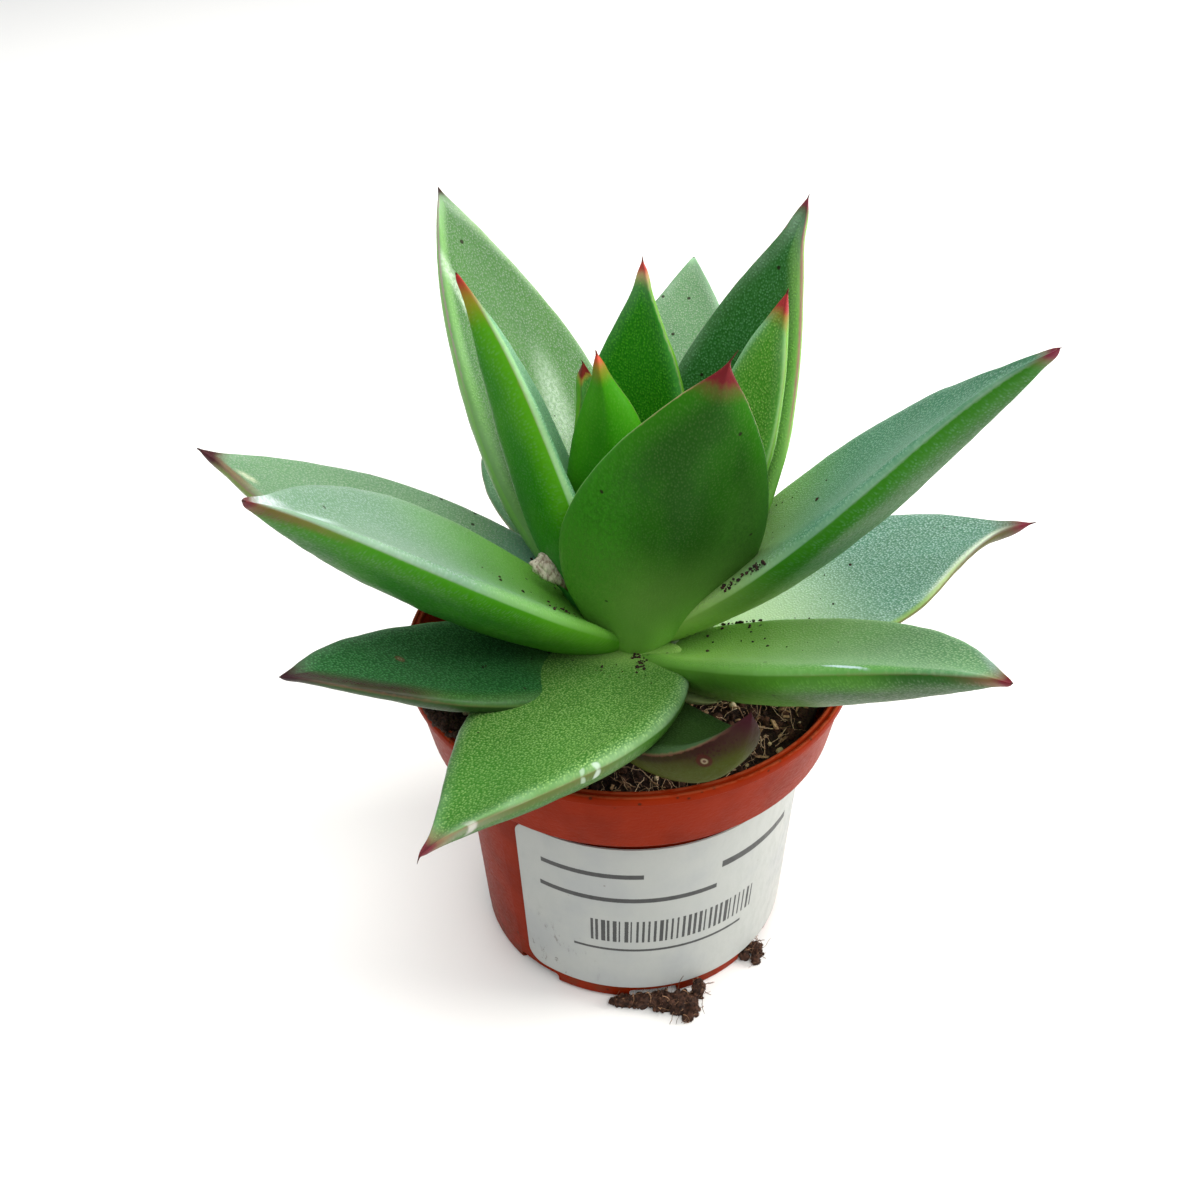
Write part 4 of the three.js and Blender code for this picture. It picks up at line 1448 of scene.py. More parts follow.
@dataclass
class Pot:
    """The nursery pot: a tapered body, a stepped collar and a rolled lip, in millimetres."""

    height: float = 50.0
    wall: float = 1.1
    foot: float = 22.5
    body_top: float = 24.4
    collar_foot: float = 39.0
    collar: float = 27.7
    lip_foot: float = 48.4
    rim: float = 30.0
    ledge: float = 28.2
    floor: float = 1.2
    chamfer: float = 0.09
    drains: int = 8
    first_drain: float = 276.0
    drain_width: float = 7.0
    drain_height: float = 2.2
    drain_inner: float = 19.0
    drain_reach: float = 8.0
    drain_corner: float = 0.6
    segments: int = 128

    def radius(self, height: float) -> float:
        """Outer radius of the body at a height."""
        return self.foot + (self.body_top - self.foot) * height / self.collar_foot

    def profile(self) -> list[tuple[float, float]]:
        """Radius and height of the shell's corners, from under the foot to the inner floor.

        Returns:
            The corners.
        """
        rim, lip, top = self.rim, self.lip_foot, self.height
        collar, step, waist = self.collar, self.collar_foot, self.radius(self.collar_foot)
        return [
            (6.0, 0.5), (15.0, 0.5), (16.0, 0.0), (self.foot - 0.8, 0.0), (self.foot, 0.8),
            (waist - 0.35, step - 3.0), (waist, step), (collar, step), (collar + 0.25, step + 0.4),
            (rim - 0.6, lip - 0.3), (rim - 0.5, lip), (rim, lip + 0.25), (rim, top - 0.35),
            (rim - 0.2, top - 0.08), (rim - 0.45, top - 0.08), (rim - 0.55, top - 0.38),
            (rim - 0.85, top - 0.38), (rim - 0.92, top), (rim - 1.2, top), (rim - 1.32, top - 0.4),
            (rim - 1.35, lip + 0.9), (self.ledge + 0.2, lip + 0.6), (self.ledge - 0.1, lip + 0.2),
            (collar - self.wall, step + self.wall), (waist - self.wall, step + 0.2),
            (self.radius(self.floor) - self.wall, self.floor), (6.0, self.floor),
        ]

    def build(self) -> None:
        """Turn the shell, cut the drains and dress it."""
        shell = lathe("nursery_pot", self.profile(), self.segments)
        sharp = math.radians(32)
        modify(shell, "BEVEL", width=self.chamfer * MM, segments=2, limit_method="ANGLE", angle_limit=sharp)
        tool = fused("drain_cutters", [self._drain_cutter(index) for index in range(self.drains)])
        modify(shell, "BOOLEAN", object=tool, operation="DIFFERENCE", solver="EXACT")
        bpy.data.objects.remove(tool)
        install(shell, PotPlastic().dress(), "pot_plastic", "pot", angle=30.0)

    def _drain_cutter(self, index: int) -> Object:
        """Make the block that cuts one drain.

        Args:
            index: which drain.

        Returns:
            The block, in place.
        """
        bpy.ops.mesh.primitive_cube_add(size=MM)
        block = added("drain_cutter")
        with shaping(block):
            resize((self.drain_reach, self.drain_width, 2 * self.drain_height))
            move(((self.drain_inner + self.drain_reach / 2) * MM, 0, 0))
            bpy.ops.mesh.bevel(offset=self.drain_corner * MM, segments=3, affect="EDGES")
            turn("Z", math.radians(self.first_drain + 360 / self.drains * index))
        return block


@dataclass
class Label:
    """The paper label: a sheet with rounded corners rolled round the pot's body, a little askew."""

    pot: Pot
    start: float = -41.0
    end: float = 72.0
    foot: float = 3.3
    top: float = 34.5
    corner: float = 2.6
    tilt: float = 1.2
    lift: float = 0.14
    thickness: float = 0.22
    columns: int = 96
    rows: int = 10

    def build(self) -> None:
        """Cut the sheet, print it, roll it round the pot and give it its thickness."""
        middle = (self.foot + self.top) / 2
        radius = self.pot.radius(middle) + self.lift
        half = math.radians(self.end - self.start) * radius / 2
        height = self.top - self.foot
        bpy.ops.mesh.primitive_grid_add(x_subdivisions=self.columns, y_subdivisions=self.rows, size=2)
        sheet = added("pot_label")
        with shaping(sheet):
            resize((half * MM, height / 2 * MM, 1))
        self._round_corners(sheet, half, height)
        layer = sheet.data.attributes.new("sheet", "FLOAT_VECTOR", "POINT")
        for vertex, printed in zip(sheet.data.vertices, layer.data):
            printed.vector = (vertex.co.x / MM + half, vertex.co.y / MM + height / 2, 0)
        self._roll(sheet, radius, middle)
        modify(sheet, "SOLIDIFY", thickness=self.thickness * MM, offset=1.0)
        face_out(sheet)
        install(sheet, LabelPaper().dress(), "label_paper", "label", angle=50.0)

    def _round_corners(self, sheet: Object, half: float, height: float) -> None:
        """Shorten the columns near both ends, and move the columns closer together there.

        Args:
            sheet: the flat sheet.
            half: half its length in millimetres.
            height: its height in millimetres.
        """
        shares = [2 * i / self.columns - 1 for i in range(self.columns + 1)]
        runs = [(share * half, half * math.sin(math.pi / 2 * share)) for share in shares]
        with shaping(sheet, whole=False) as mesh:
            for even, run in runs:
                into = max(0.0, abs(run) - (half - self.corner))
                trim = self.corner - math.sqrt(max(0.01, self.corner**2 - into**2))
                self._pick_column(mesh, even)
                resize((1, 1 - 2 * trim / height, 1))
            for even, run in sorted(runs, key=lambda pair: -abs(pair[0])):
                if abs(run - even) > 1e-6:
                    self._pick_column(mesh, even)
                    move(((run - even) * MM, 0, 0))

    @staticmethod
    def _pick_column(mesh: bmesh.types.BMesh, even: float) -> None:
        """Select the column of the sheet that stands at a place, in millimetres."""
        pick(mesh, lambda at: abs(at.x - even * MM) < 0.02 * MM)

    def _roll(self, sheet: Object, radius: float, middle: float) -> None:
        """Stand the flat sheet up, tilt it, lean it like the pot's wall and roll it round the pot.

        Args:
            sheet: the flat sheet.
            radius: the radius that it is rolled to, in millimetres.
            middle: the height of its middle, in millimetres.
        """
        slope = math.atan((self.pot.body_top - self.pot.foot) / self.pot.collar_foot)
        with shaping(sheet):
            turn("X", math.pi / 2)
            turn("Y", math.radians(self.tilt))
            turn("X", slope)
        reach = [vertex.co.x for vertex in sheet.data.vertices]
        spread = (max(reach) - min(reach)) / (radius * MM)
        modify(sheet, "SIMPLE_DEFORM", deform_method="BEND", deform_axis="Z", angle=spread)
        with shaping(sheet):
            move((0, -radius * MM, middle * MM))
            turn("Z", math.radians((self.start + self.end) / 2))


# Soil, stem and loose bits


@dataclass
class Bits:
    """The few shapes that crumbs, fibres, bark chips and grains of perlite are copied from."""

    seed: int = 41
    kinds: dict[Matter, list[Object]] = field(default_factory=dict)

    def build(self) -> None:
        """Model each kind of bit, out of sight until it is copied."""
        dice = random.Random(self.seed)
        self.kinds[Matter.PEAT] = [self._crumb(dice, 0.7) for _ in range(4)]
        self.kinds[Matter.PERLITE] = [self._crumb(dice, 0.3) for _ in range(2)]
        self.kinds[Matter.FIBRE] = [self._fibre(dice) for _ in range(5)]
        self.kinds[Matter.BARK] = [self._chip(dice) for _ in range(3)]

    def clear(self) -> None:
        """Take the originals away."""
        for original in (piece for kind in self.kinds.values() for piece in kind):
            bpy.data.objects.remove(original)

    @staticmethod
    def _crumb(dice: random.Random, rough: float) -> Object:
        """Model one lump about 1 mm across.

        Args:
            dice: draws its shape.
            rough: how uneven it is.

        Returns:
            The lump, at the origin.
        """
        bpy.ops.mesh.primitive_ico_sphere_add(subdivisions=2, radius=0.5 * MM)
        lump = added("crumb")
        with shaping(lump):
            resize((1.0, dice.uniform(0.6, 0.9), dice.uniform(0.5, 0.8)))
            turn("Z", dice.uniform(0, math.pi))
            bpy.ops.transform.vertex_random(offset=0.16 * rough * MM, seed=dice.randrange(1, 999))
        modify(lump, "DECIMATE", ratio=0.55)
        return lump

    @staticmethod
    def _fibre(dice: random.Random, joints: int = 6) -> Object:
        """Model one curved fibre 1 mm long before it is stretched.

        Args:
            dice: draws its bends.
            joints: how many straight runs it has.

        Returns:
            The fibre, along X from the origin.
        """
        fibre = disc("fibre", 5, 0.012)
        with shaping(fibre):
            turn("Y", math.pi / 2)
            at = Vector()
            heading = Euler((0, dice.uniform(-0.3, 0.1), 0))
            for joint in range(joints):
                step = heading.to_matrix() @ Vector((MM / joints, 0, 0))
                at += step
                thin = 0.6 if joint == joints - 1 else dice.uniform(0.85, 1.15)
                extrude(step, (1, thin, thin), at)
                heading.y += dice.uniform(-0.35, 0.35)
                heading.z += dice.uniform(-0.4, 0.4)
        face_out(fibre)
        return fibre

    @staticmethod
    def _chip(dice: random.Random) -> Object:
        """Model one flat splinter of bark 1 mm long before it is stretched.

        Args:
            dice: draws its shape.

        Returns:
            The splinter, along X, its middle at the origin.
        """
        bpy.ops.mesh.primitive_cube_add(size=MM)
        chip = added("chip")
        with shaping(chip):
            resize((1, dice.uniform(0.25, 0.4), dice.uniform(0.08, 0.14)))
            bpy.ops.mesh.subdivide(number_cuts=2)
            bpy.ops.transform.vertex_random(offset=0.05 * MM, seed=dice.randrange(1, 999))
        face_out(chip)
        return chip

    def strew(self, matter: Matter, places: list[Matrix], dice: random.Random) -> list[Object]:
        """Copy bits of one kind to many places, each copy with its own mesh.

        Args:
            matter: the kind.
            places: where they go.
            dice: draws which shape and which shade each one has.

        Returns:
            The copies.
        """
        copies: list[Object] = []
        kinds = self.kinds[matter]
        shares = [dice.randrange(len(kinds)) for _ in places]
        for index, original in enumerate(kinds):
            for place in (place for place, share in zip(places, shares) if share == index):
                copy = original.copy()
                copy.data = original.data.copy()
                copy.matrix_world = place
                bpy.context.scene.collection.objects.link(copy)
                shaded(copy, dice.random())
                copies.append(copy)
        return copies


def tumbled(dice: random.Random, at: Vector, size: float) -> Matrix:
    """Put a bit of a size down at a place anyhow."""
    lie = Euler((dice.uniform(0, 6.3), dice.uniform(-0.35, 0.35), dice.uniform(0, 6.3)))
    return Matrix.LocRotScale(at, lie, Vector((size, size, size)))


@dataclass(frozen=True)
class Strewing:
    """One kind of bit that lies on the bed.

    name: the piece that they make together. sizes: the smallest and the largest, in millimetres.
    few_large: the higher, the fewer of them are large. rise: how high above the bed they may lie.
    thick: how thick a fibre is, against its original.
    """

    matter: Matter
    name: str
    count: int
    sizes: tuple[float, float]
    few_large: float
    rise: tuple[float, float]
    thick: float = 1.0


@dataclass
class Soil:
    """The peat that fills the pot, with its crumbs, fibres, bark and perlite. Sizes in millimetres.

    relief: size and depth of each layer of clouds on the bed. reach, fibre_reach: how far out bits may
    lie, and fibres end. perlite: place and size of each large grain.
    heap: how many crumbs lie against the rim; heap_at: where, in degrees, and how far they spread;
    heap_reach: how far out most of them lie, how far they spread and the limit; heap_slope: where the
    heap rises from the bed, over what width and how high.
    """

    pot: Pot
    bits: Bits
    level: float = 45.4
    dome: float = 0.5
    gap: float = 0.3
    ring_step: float = 0.75
    relief: tuple[tuple[float, float], ...] = ((5.0, 1.3), (1.6, 1.3), (0.7, 0.7))
    reach: float = 25.6
    fibre_reach: float = 25.8
    seed: int = 7
    heap: int = 340
    heap_at: tuple[float, float] = (213.9, 5.5)
    heap_reach: tuple[float, float, float] = (27.8, 1.3, 29.5)
    heap_slope: tuple[float, float, float] = (24.0, 4.4, 4.5)
    strewings: tuple[Strewing, ...] = (
        Strewing(Matter.PEAT, "soil_crumbs", 1300, (0.3, 2.0), 2.6, (0.0, 0.45)),
        Strewing(Matter.FIBRE, "soil_fibres", 1500, (0.8, 3.2), 1.6, (0.3, 1.0), 4.5),
        Strewing(Matter.BARK, "bark_chips", 520, (0.6, 2.2), 2.0, (0.3, 0.9)),
        Strewing(Matter.PERLITE, "perlite_dust", 46, (0.3, 0.8), 1.5, (0.3, 0.7)),
    )
    perlite: tuple[tuple[float, float, float], ...] = (
        (13.0, -17.5, 1.5), (18.2, -18.6, 1.2), (13.1, -10.6, 1.5), (16.6, -13.0, 0.9), (-15.0, -19.5, 1.0),
        (-21.5, -10.2, 1.4), (22.3, 6.5, 1.5), (10.4, 22.6, 1.2), (-9.5, 21.8, 1.6), (-22.6, 7.2, 1.1),
        (2.5, -22.8, 1.0), (24.0, -4.4, 0.9), (-18.3, 15.6, 0.9), (16.2, 18.9, 1.0), (5.4, -18.6, 0.8),
    )

    def height(self, x: float, y: float) -> float:
        """Height of the soil at a place, before its crumbs."""
        return self.level + self.dome * max(0.0, 1 - math.hypot(x, y) / 26)

    def build(self) -> None:
        """Model the bed and strew it."""
        self._bed()
        dice = random.Random(self.seed)
        for strewing in self.strewings:
            self._scatter(dice, strewing)
        places = [
            tumbled(dice, Vector((x, y, self.height(x, y) + 0.35 * size)) * MM, size)
            for x, y, size in self.perlite
        ]
        self._lay("perlite_grains", Matter.PERLITE, places, dice)
        self._heap_on_rim(dice)

    def _lay(self, name: str, matter: Matter, places: list[Matrix], dice: random.Random) -> None:
        """Strew bits of one kind over their places, as one piece of that name."""
        whole = fused(name, self.bits.strew(matter, places, dice))
        install(whole, matter.value.dress(), "soil")

    def _heap_on_rim(self, dice: random.Random) -> None:
        """Heap peat against the rim, and a little over it.

        Args:
            dice: draws the places.
        """
        (middle, spread), (most, scatter, limit) = self.heap_at, self.heap_reach
        foot, width, rise = self.heap_slope
        places = []
        for _ in range(self.heap):
            angle = math.radians(middle + dice.gauss(0, spread))
            reach = min(limit, most + dice.gauss(0, scatter))
            high = self.level + rise * min(1.0, max(0.0, (reach - foot) / width)) + dice.uniform(0.0, 0.5)
            at = Vector((reach * math.cos(angle), reach * math.sin(angle), high)) * MM
            places.append(tumbled(dice, at, 0.4 + 1.1 * dice.random() ** 2))
        heap = fused("rim_peat", self.bits.strew(Matter.PEAT, places, dice))
        shaded(heap, 0.22)
        install(heap, Matter.PEAT.value.dress(), "soil")

    def _bed(self) -> None:
        """Turn the bed, and break up its surface."""
        inner, low = self.pot.wall + self.gap, self.pot.floor + self.gap
        collar, step = self.pot.collar - inner, self.pot.collar_foot
        foot, waist = self.pot.radius(2) - inner, self.pot.radius(step - 1) - inner
        profile = [
            (5.0, low), (foot - 0.5, low), (foot, low + 0.6), (waist, step - 1), (waist, step + inner + 0.3),
            (collar - 0.6, step + inner + 0.6), (collar, self.level - 0.5),
        ]
        reach = collar
        while reach > 2 * self.ring_step:
            profile.append((reach, self.height(reach, 0)))
            reach -= self.ring_step
        bed = lathe("soil_bed", profile, self.pot.segments)
        top = bed.vertex_groups.new(name="surface")
        top.add([v.index for v in bed.data.vertices if v.co.z > (self.level - 0.3) * MM], 1.0, "REPLACE")
        for size, depth in self.relief:
            roughen(bed, size, depth, vertex_group="surface", direction="Z")
        shaded(bed, 0.05)
        install(bed, Matter.PEAT.value.dress(), "soil", "soil", angle=60.0)

    def _scatter(self, dice: random.Random, kind: Strewing) -> None:
        """Strew one kind of bit over the bed.

        Args:
            dice: draws the places.
            kind: the bits.
        """
        places = []
        for _ in range(kind.count):
            reach = self.reach * math.sqrt(dice.random())
            angle = dice.uniform(0, math.tau)
            x, y = reach * math.cos(angle), reach * math.sin(angle)
            low, high = kind.sizes
            size = low + (high - low) * dice.random() ** kind.few_large
            at = Vector((x, y, self.height(x, y) + dice.uniform(*kind.rise))) * MM
            place = tumbled(dice, at, kind.thick if kind.matter is Matter.FIBRE else size)
            if kind.matter is Matter.FIBRE:
                place = self._kept_in(place @ Matrix.Diagonal((size / kind.thick, 1, 1, 1)))
            places.append(place)
        self._lay(kind.name, kind.matter, places, dice)

    def _kept_in(self, place: Matrix) -> Matrix:
        """Turn a fibre so that it doesn't run into the pot's wall.

        Args:
            place: where it lies, with its length along its own X axis.

        Returns:
            The same place, or the one at which it points inwards instead.
        """
        end = place @ Vector((MM, 0, 0))
        if math.hypot(end.x, end.y) < self.fibre_reach * MM:
            return place
        back = Matrix.Rotation(math.pi, 4, "Z")
        return Matrix.Translation(place.translation) @ back @ Matrix.Translation(-place.translation) @ place


@dataclass
class Spill:
    """Crumbs of peat that lie in the creases between the leaves and on the leaves.

    patches: the leaf, the distance from its root and the share across it where each patch lies, how far
        it spreads along the leaf and across it, and how many crumbs it has, all in millimetres.
    """

    rosette: Rosette
    bits: Bits
    patches: tuple[tuple[str, float, float, float, float, int], ...] = (
        ("leaf_long_right", 14.0, -0.2, 7.0, 0.5, 26), ("leaf_long_right", 24.0, 0.3, 16.0, 0.8, 10),
        ("leaf_front_right", 13.0, 0.5, 9.0, 0.3, 14), ("leaf_front_right", 24.0, 0.2, 16.0, 0.7, 10),
        ("leaf_low_front", 12.0, 0.1, 8.0, 0.8, 22), ("leaf_front_left", 14.0, 0.4, 9.0, 0.4, 22),
        ("leaf_front_left", 26.0, 0.1, 16.0, 0.7, 12), ("leaf_far_left", 24.0, 0.3, 10.0, 0.8, 16),
        ("leaf_flat_right", 22.0, 0.0, 12.0, 0.8, 8), ("leaf_low_left", 20.0, 0.0, 10.0, 0.8, 6),
        ("leaf_long_right", 26.2, -0.94, 1.8, 0.08, 26), ("leaf_long_right", 21.5, -0.94, 2.4, 0.08, 30),
        ("leaf_front_right", 12.0, 0.93, 6.0, 0.06, 40), ("leaf_low_front", 5.7, 0.2, 2.5, 0.12, 22),
        ("leaf_low_front", 8.5, 0.36, 2.5, 0.1, 30), ("leaf_front_left", 7.0, -0.78, 3.4, 0.1, 44),
        ("leaf_front_left", 4.6, -0.6, 3.0, 0.2, 30), ("leaf_front_left", 5.0, 0.92, 2.5, 0.08, 24),
        ("leaf_far_left", 8.0, -0.6, 6.0, 0.3, 24),
    )
    seed: int = 17

    def build(self) -> None:
        """Lay the crumbs down and dress them."""
        dice = random.Random(self.seed)
        leaves = {leaf.name: leaf for leaf in self.rosette.leaves}
        places = []
        for name, run, side, length, width, count in self.patches:
            for _ in range(count):
                along = max(4.0, run + dice.gauss(0, 0.4) * length)
                across = min(0.97, max(-0.97, side + dice.gauss(0, 0.4) * width))
                size = 0.14 + 0.45 * dice.random() ** 2.5
                rest = leaves[name].surface(along, across) @ Vector((0, 0, 0.1 * size * MM))
                places.append(tumbled(dice, rest, size))
        crumbs = fused("spilt_crumbs", self.bits.strew(Matter.PEAT, places, dice))
        shaded(crumbs, 0.0)
        install(crumbs, Matter.PEAT.value.dress(), "soil")


@dataclass
class Stem:
    """The short woody stem with the scars of its first leaves, in millimetres."""

    radius: float = 4.5
    foot: float = 40.0
    top: float = 56.6
    rings: int = 5
    flare: float = 4.0
    groove: float = 0.45

    def build(self) -> None:
        """Turn the stem with its scar rings and dress it."""
        full, first = self.radius, self.foot + self.flare
        profile = [(1.0, self.foot), (full - 1.5, self.foot), (full, first)]
        pitch = (self.top - 3 - first) / self.rings
        for index in range(self.rings):
            for share, depth in ((0.6, 0.0), (0.85, self.groove), (1.0, 0.0)):
                profile.append((full - depth, first + pitch * (index + share)))
        profile += [(full - 1.6, self.top - 0.6), (1.0, self.top)]
        stem = lathe("woody_stem", profile, 24)
        refine(stem, 2)
        roughen(stem, 1.5, 0.4)
        shaded(stem, 0.5)
        install(stem, Matter.BARK.value.dress(), "stem", "stem")


@dataclass
class DryStub:
    """The dried, frayed foot of a lost leaf at the left of the stem, in millimetres.

    neck: how much of the way from the foot to the tip is a thin brown neck. widths: how each step of
    a strand beyond the neck widens or narrows.
    """

    foot: tuple[float, float, float] = (-5.6, -6.2, 60.4)
    tip: tuple[float, float, float] = (-11.4, -6.5, 68.0)
    neck: float = 0.42
    strands: int = 11
    thick: float = 0.28
    spread: float = 0.75
    widths: tuple[float, ...] = (1.7, 1.5, 1.15, 1.0, 0.9, 0.55)
    seed: int = 5

    def build(self) -> None:
        """Draw out the strands, fuse them and dress them, from brown at the foot to pale at the torn end."""
        dice = random.Random(self.seed)
        stub = fused("dried_leaf_foot", [self._strand(dice) for _ in range(self.strands)])
        refine(stub, 1)
        roughen(stub, 0.9, 0.5)
        foot, way = Vector(self.foot) * MM, Vector(self.tip) - Vector(self.foot)
        shares = [(v.co - foot).dot(way) / (way.length_squared * MM) for v in stub.data.vertices]
        shaded(stub, *(min(1.0, max(0.0, (share - 0.4) / 0.25)) for share in shares))
        install(stub, Matter.HUSK.value.dress(), "dry_leaf", "dry_stub")

    def _strand(self, dice: random.Random) -> Object:
        """Draw out one strand from the foot through the neck to the torn end.

        Args:
            dice: draws its path.

        Returns:
            The strand.
        """
        foot, tip = Vector(self.foot) * MM, Vector(self.tip) * MM
        aside = Vector([dice.uniform(-1, 1) for _ in range(3)]) * self.spread * MM
        neck = foot.lerp(tip, self.neck)
        strand = disc("husk_strand", 6, self.thick)
        with shaping(strand):
            turn("Y", -0.65)
            move(foot + aside * 0.2)
            at = neck + aside * 0.2
            extrude(neck - foot, (1.0, 1.0, 1.0), at)
            way = (tip - at) * dice.uniform(0.8, 1.0) + aside
            for thin in self.widths:
                step = way / len(self.widths) + Vector([dice.uniform(-0.2, 0.2) for _ in range(3)]) * MM
                at = at + step
                extrude(step, (thin, thin, thin), at)
        face_out(strand)
        return strand


@dataclass(frozen=True)
class Lump:
    """One lump of a clod: its middle, its half sizes in millimetres and its turn in degrees."""

    middle: tuple[float, float, float]
    half: tuple[float, float, float]
    turn: float = 0.0


FRONT_LUMPS = (
    Lump((-4.4, 22.9, 0.7), (2.3, 0.9, 0.8), 4.0),
    Lump((-2.0, 23.3, 0.8), (2.2, 1.1, 1.0)),
    Lump((0.8, 23.7, 0.9), (2.0, 1.5, 1.1)),
    Lump((3.4, 24.4, 1.0), (1.8, 1.8, 1.3), -6.0),
    Lump((5.0, 24.9, 0.9), (1.2, 1.5, 1.1)),
    Lump((4.3, 26.6, 0.6), (0.9, 1.1, 0.6)),
    Lump((6.4, 23.2, 1.6), (0.9, 1.0, 1.6), 10.0),
)
RIGHT_LUMPS = (
    Lump((-1.9, 22.3, 0.8), (0.9, 0.8, 0.8)),
    Lump((-0.7, 22.9, 1.2), (0.8, 0.8, 0.8)),
    Lump((0.0, 23.4, 1.1), (0.7, 0.8, 0.9)),
    Lump((-0.9, 24.0, 0.9), (0.7, 0.8, 0.8)),
    Lump((-1.8, 24.4, 0.7), (0.7, 0.7, 0.6)),
)


@dataclass
class Clod:
    """A ragged clod of roots and peat that hangs out of a drain, in millimetres.

    azimuth: where its drain is, from -Y towards +X. lumps: along X round the pot, along -Y outwards
    from the pot's axis and up. crumbs, fibres: how many of each lie on it.
    ground: its lowest point. relief: size and depth of each layer of clouds on it.
    """

    node: str
    bits: Bits
    azimuth: float
    lumps: tuple[Lump, ...]
    seed: int
    crumbs: int = 90
    fibres: int = 80
    ground: float = 0.12
    grain: float = 0.18
    relief: tuple[tuple[float, float], ...] = ((2.0, 1.0), (0.8, 1.0), (0.35, 0.6))

    def build(self) -> None:
        """Model the lumps, cover them with crumbs and roots and dress them."""
        dice = random.Random(self.seed)
        mass = fused(self.node + "_mass", [self._lump(lump) for lump in self.lumps])
        modify(mass, "REMESH", mode="VOXEL", voxel_size=self.grain * MM)
        for size, depth in self.relief:
            roughen(mass, size, depth)
        self._level(mass)
        shaded(mass, 0.35)
        skin = [(v.co.copy(), v.normal.copy()) for v in mass.data.vertices if v.co.z > 0.4 * MM]
        crumbs = [tumbled(dice, dice.choice(skin)[0], dice.uniform(0.25, 0.9)) for _ in range(self.crumbs)]
        roots = [self._root(dice, *dice.choice(skin)) for _ in range(self.fibres)]
        whole = fused(self.node + "_peat", [mass, *self.bits.strew(Matter.PEAT, crumbs, dice)])
        install(whole, Matter.CLOD.value.dress(), "soil", self.node)
        threads = fused(self.node + "_roots", self.bits.strew(Matter.FIBRE, roots, dice))
        self._level(threads)
        install(threads, Matter.ROOT.value.dress(), "soil")

    def _level(self, piece: Object) -> None:
        """Cut off what lies below the ground.

        Args:
            piece: what is cut.
        """
        ground, up = (0, 0, self.ground * MM), (0, 0, 1)
        with shaping(piece):
            bpy.ops.mesh.bisect(plane_co=ground, plane_no=up, clear_inner=True, use_fill=True)
        face_out(piece)

    def _lump(self, lump: Lump) -> Object:
        """Model one lump.

        Args:
            lump: its place and size.

        Returns:
            The lump.
        """
        bpy.ops.mesh.primitive_ico_sphere_add(subdivisions=3, radius=MM)
        piece = added("lump")
        x, out, up = lump.middle
        with shaping(piece):
            resize(lump.half)
            turn("Y", math.radians(lump.turn))
            move(Vector((x, -out, up)) * MM)
            turn("Z", math.radians(self.azimuth))
        return piece

    @staticmethod
    def _root(dice: random.Random, at: Vector, out: Vector) -> Matrix:
        """Lay a root along the clod, lifted a little off it.

        Args:
            dice: draws its way and its size.
            at: where it starts.
            out: the clod's normal there.

        Returns:
            Its place.
        """
        away = Vector([dice.gauss(0, 1) for _ in range(3)])
        way = (away - out * away.dot(out) * 0.97 + Vector((0, 0, 0.1))).normalized()
        size, thick = dice.uniform(0.5, 1.5), dice.uniform(3.0, 6.0)
        if at.z + way.z * size * MM < 0.9 * MM:
            way.z = abs(way.z) + 0.15
        return Matrix.LocRotScale(at, way.to_track_quat("X", "Z"), Vector((size, thick, thick)))


# Studio


@dataclass(frozen=True)
class Lamp:
    """A round soft lamp that looks at the plant: its place and width in metres, power in watts and tint."""

    name: str
    place: tuple[float, float, float]
    size: float
    power: float
    tint: tuple[float, float, float] = (1.0, 0.98, 0.95)

    def hang(self) -> None:
        """Hang the lamp."""
        aim = (Vector((0, 0, 0.06)) - Vector(self.place)).to_track_quat("-Z", "Y").to_euler()
        bpy.ops.object.light_add(type="AREA", location=self.place, rotation=aim)
        light = added(self.name).data
        light.shape = "DISK"
        light.size = self.size
        light.energy = self.power
        light.color = self.tint


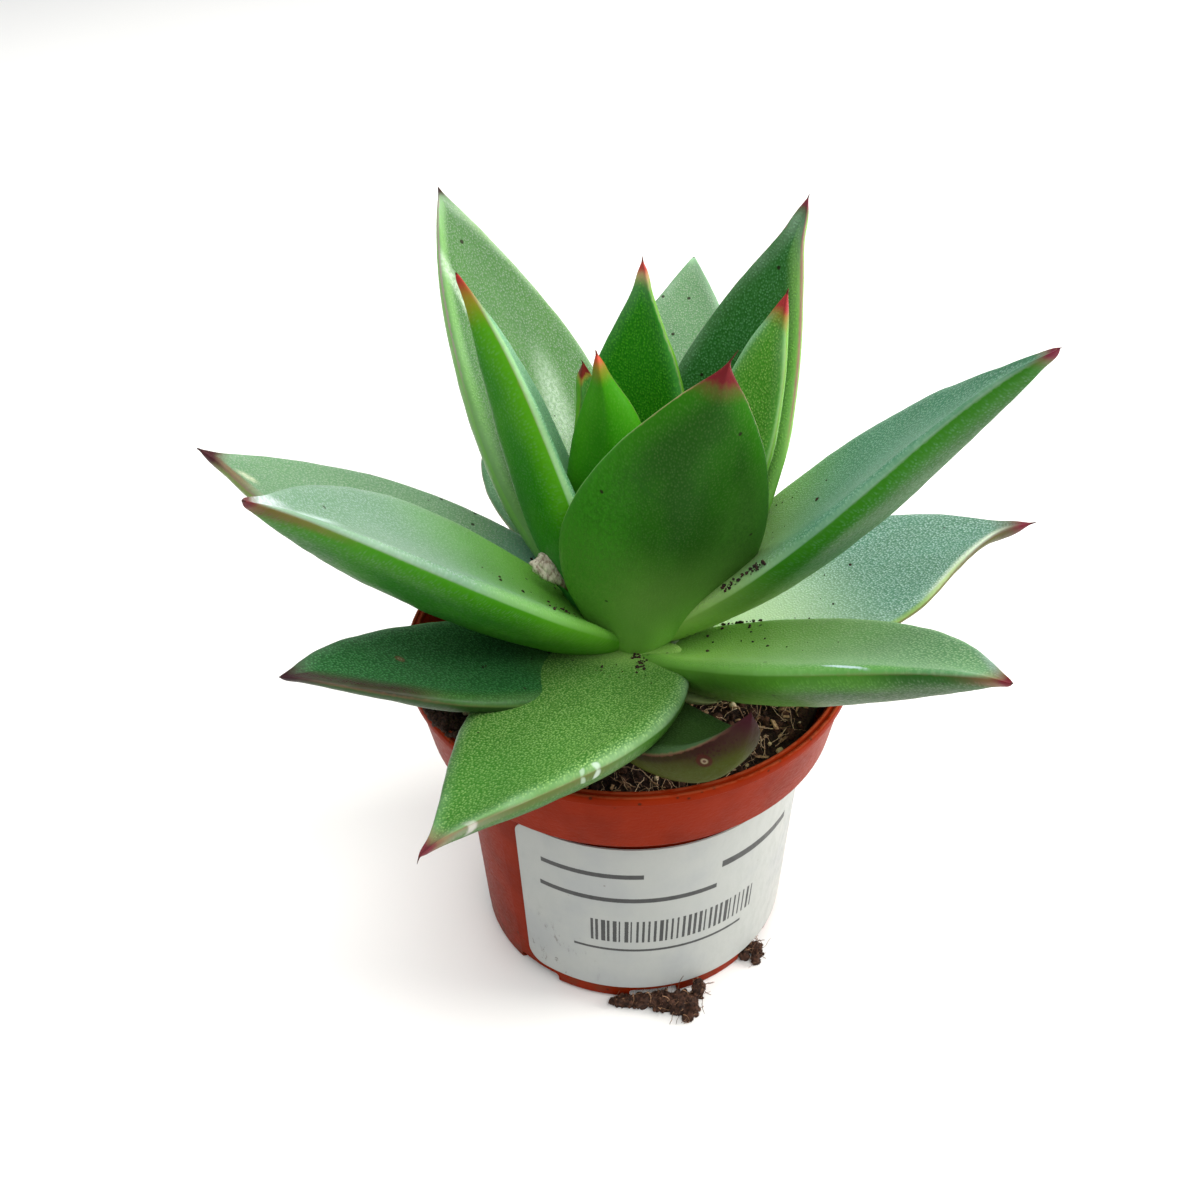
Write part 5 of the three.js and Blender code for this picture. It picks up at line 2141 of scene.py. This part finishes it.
@dataclass
class Studio:
    """A pale floor, soft light and the camera, in metres and degrees."""

    eye: tuple[float, float, float] = (-0.0038, -0.1343, 0.1621)
    pitch: float = 38.32
    roll: float = -1.57
    lens: float = 39.0
    sky: Colour = (0.93, 0.96, 1.0, 1.0)
    surround: float = 0.46
    lamps: tuple[Lamp, ...] = (
        Lamp("overhead", (0.1, -0.32, 0.72), 0.7, 5.2),
        Lamp("behind", (0.0, 0.35, 0.65), 0.5, 2.9),
        Lamp("right", (0.6, 0.0, 0.3), 0.35, 4.2, (1.0, 0.97, 0.92)),
    )

    def build(self) -> None:
        """Set up everything round the object."""
        scene = bpy.context.scene
        scene.view_settings.view_transform = "Standard"
        self._camera()
        self._floor()
        scene.world = bpy.data.worlds.new("studio")
        scene.world.use_nodes = True
        light = scene.world.node_tree.nodes["Background"].inputs
        light["Color"].default_value = self.sky
        light["Strength"].default_value = self.surround
        for lamp in self.lamps:
            lamp.hang()

    def _camera(self) -> None:
        """Stand the camera where the photograph was taken from."""
        pitch, roll = math.radians(self.pitch), math.radians(self.roll)
        ahead = Vector((0, math.cos(pitch), -math.sin(pitch)))
        right = Vector((1, 0, 0))
        up = right.cross(ahead)
        level = right * math.cos(roll) + up * math.sin(roll)
        rolled = up * math.cos(roll) - right * math.sin(roll)
        turned = Matrix((level, rolled, -ahead)).transposed()
        bpy.ops.object.camera_add(location=self.eye, rotation=turned.to_euler())
        camera = added("camera")
        camera.data.lens = self.lens
        camera.data.sensor_width = 36.0
        camera.data.clip_start = 0.005
        bpy.context.scene.camera = camera

    def _floor(self) -> None:
        """Lay the floor."""
        bpy.ops.mesh.primitive_plane_add(size=6.0)
        floor = added("floor")
        floor.data.materials.append(FloorPaint().dress())


def main() -> None:
    """Build the scene, part by part."""
    logging.basicConfig(level=logging.INFO, format="%(name)s: %(message)s")
    deselect()
    pot, bits, rosette = Pot(), Bits(), Rosette()
    parts = (
        Studio(), bits, pot, Label(pot), Soil(pot, bits), Stem(), rosette, Spill(rosette, bits), DryStub(),
        Clod("clod_front", bits, 6.0, FRONT_LUMPS, 11),
        Clod("clod_right", bits, 51.0, RIGHT_LUMPS, 23, crumbs=30, fibres=26),
    )
    for part in parts:
        part.build()
        log.info("%s is built", type(part).__name__)
    bits.clear()


if __name__ == "__main__":
    main()
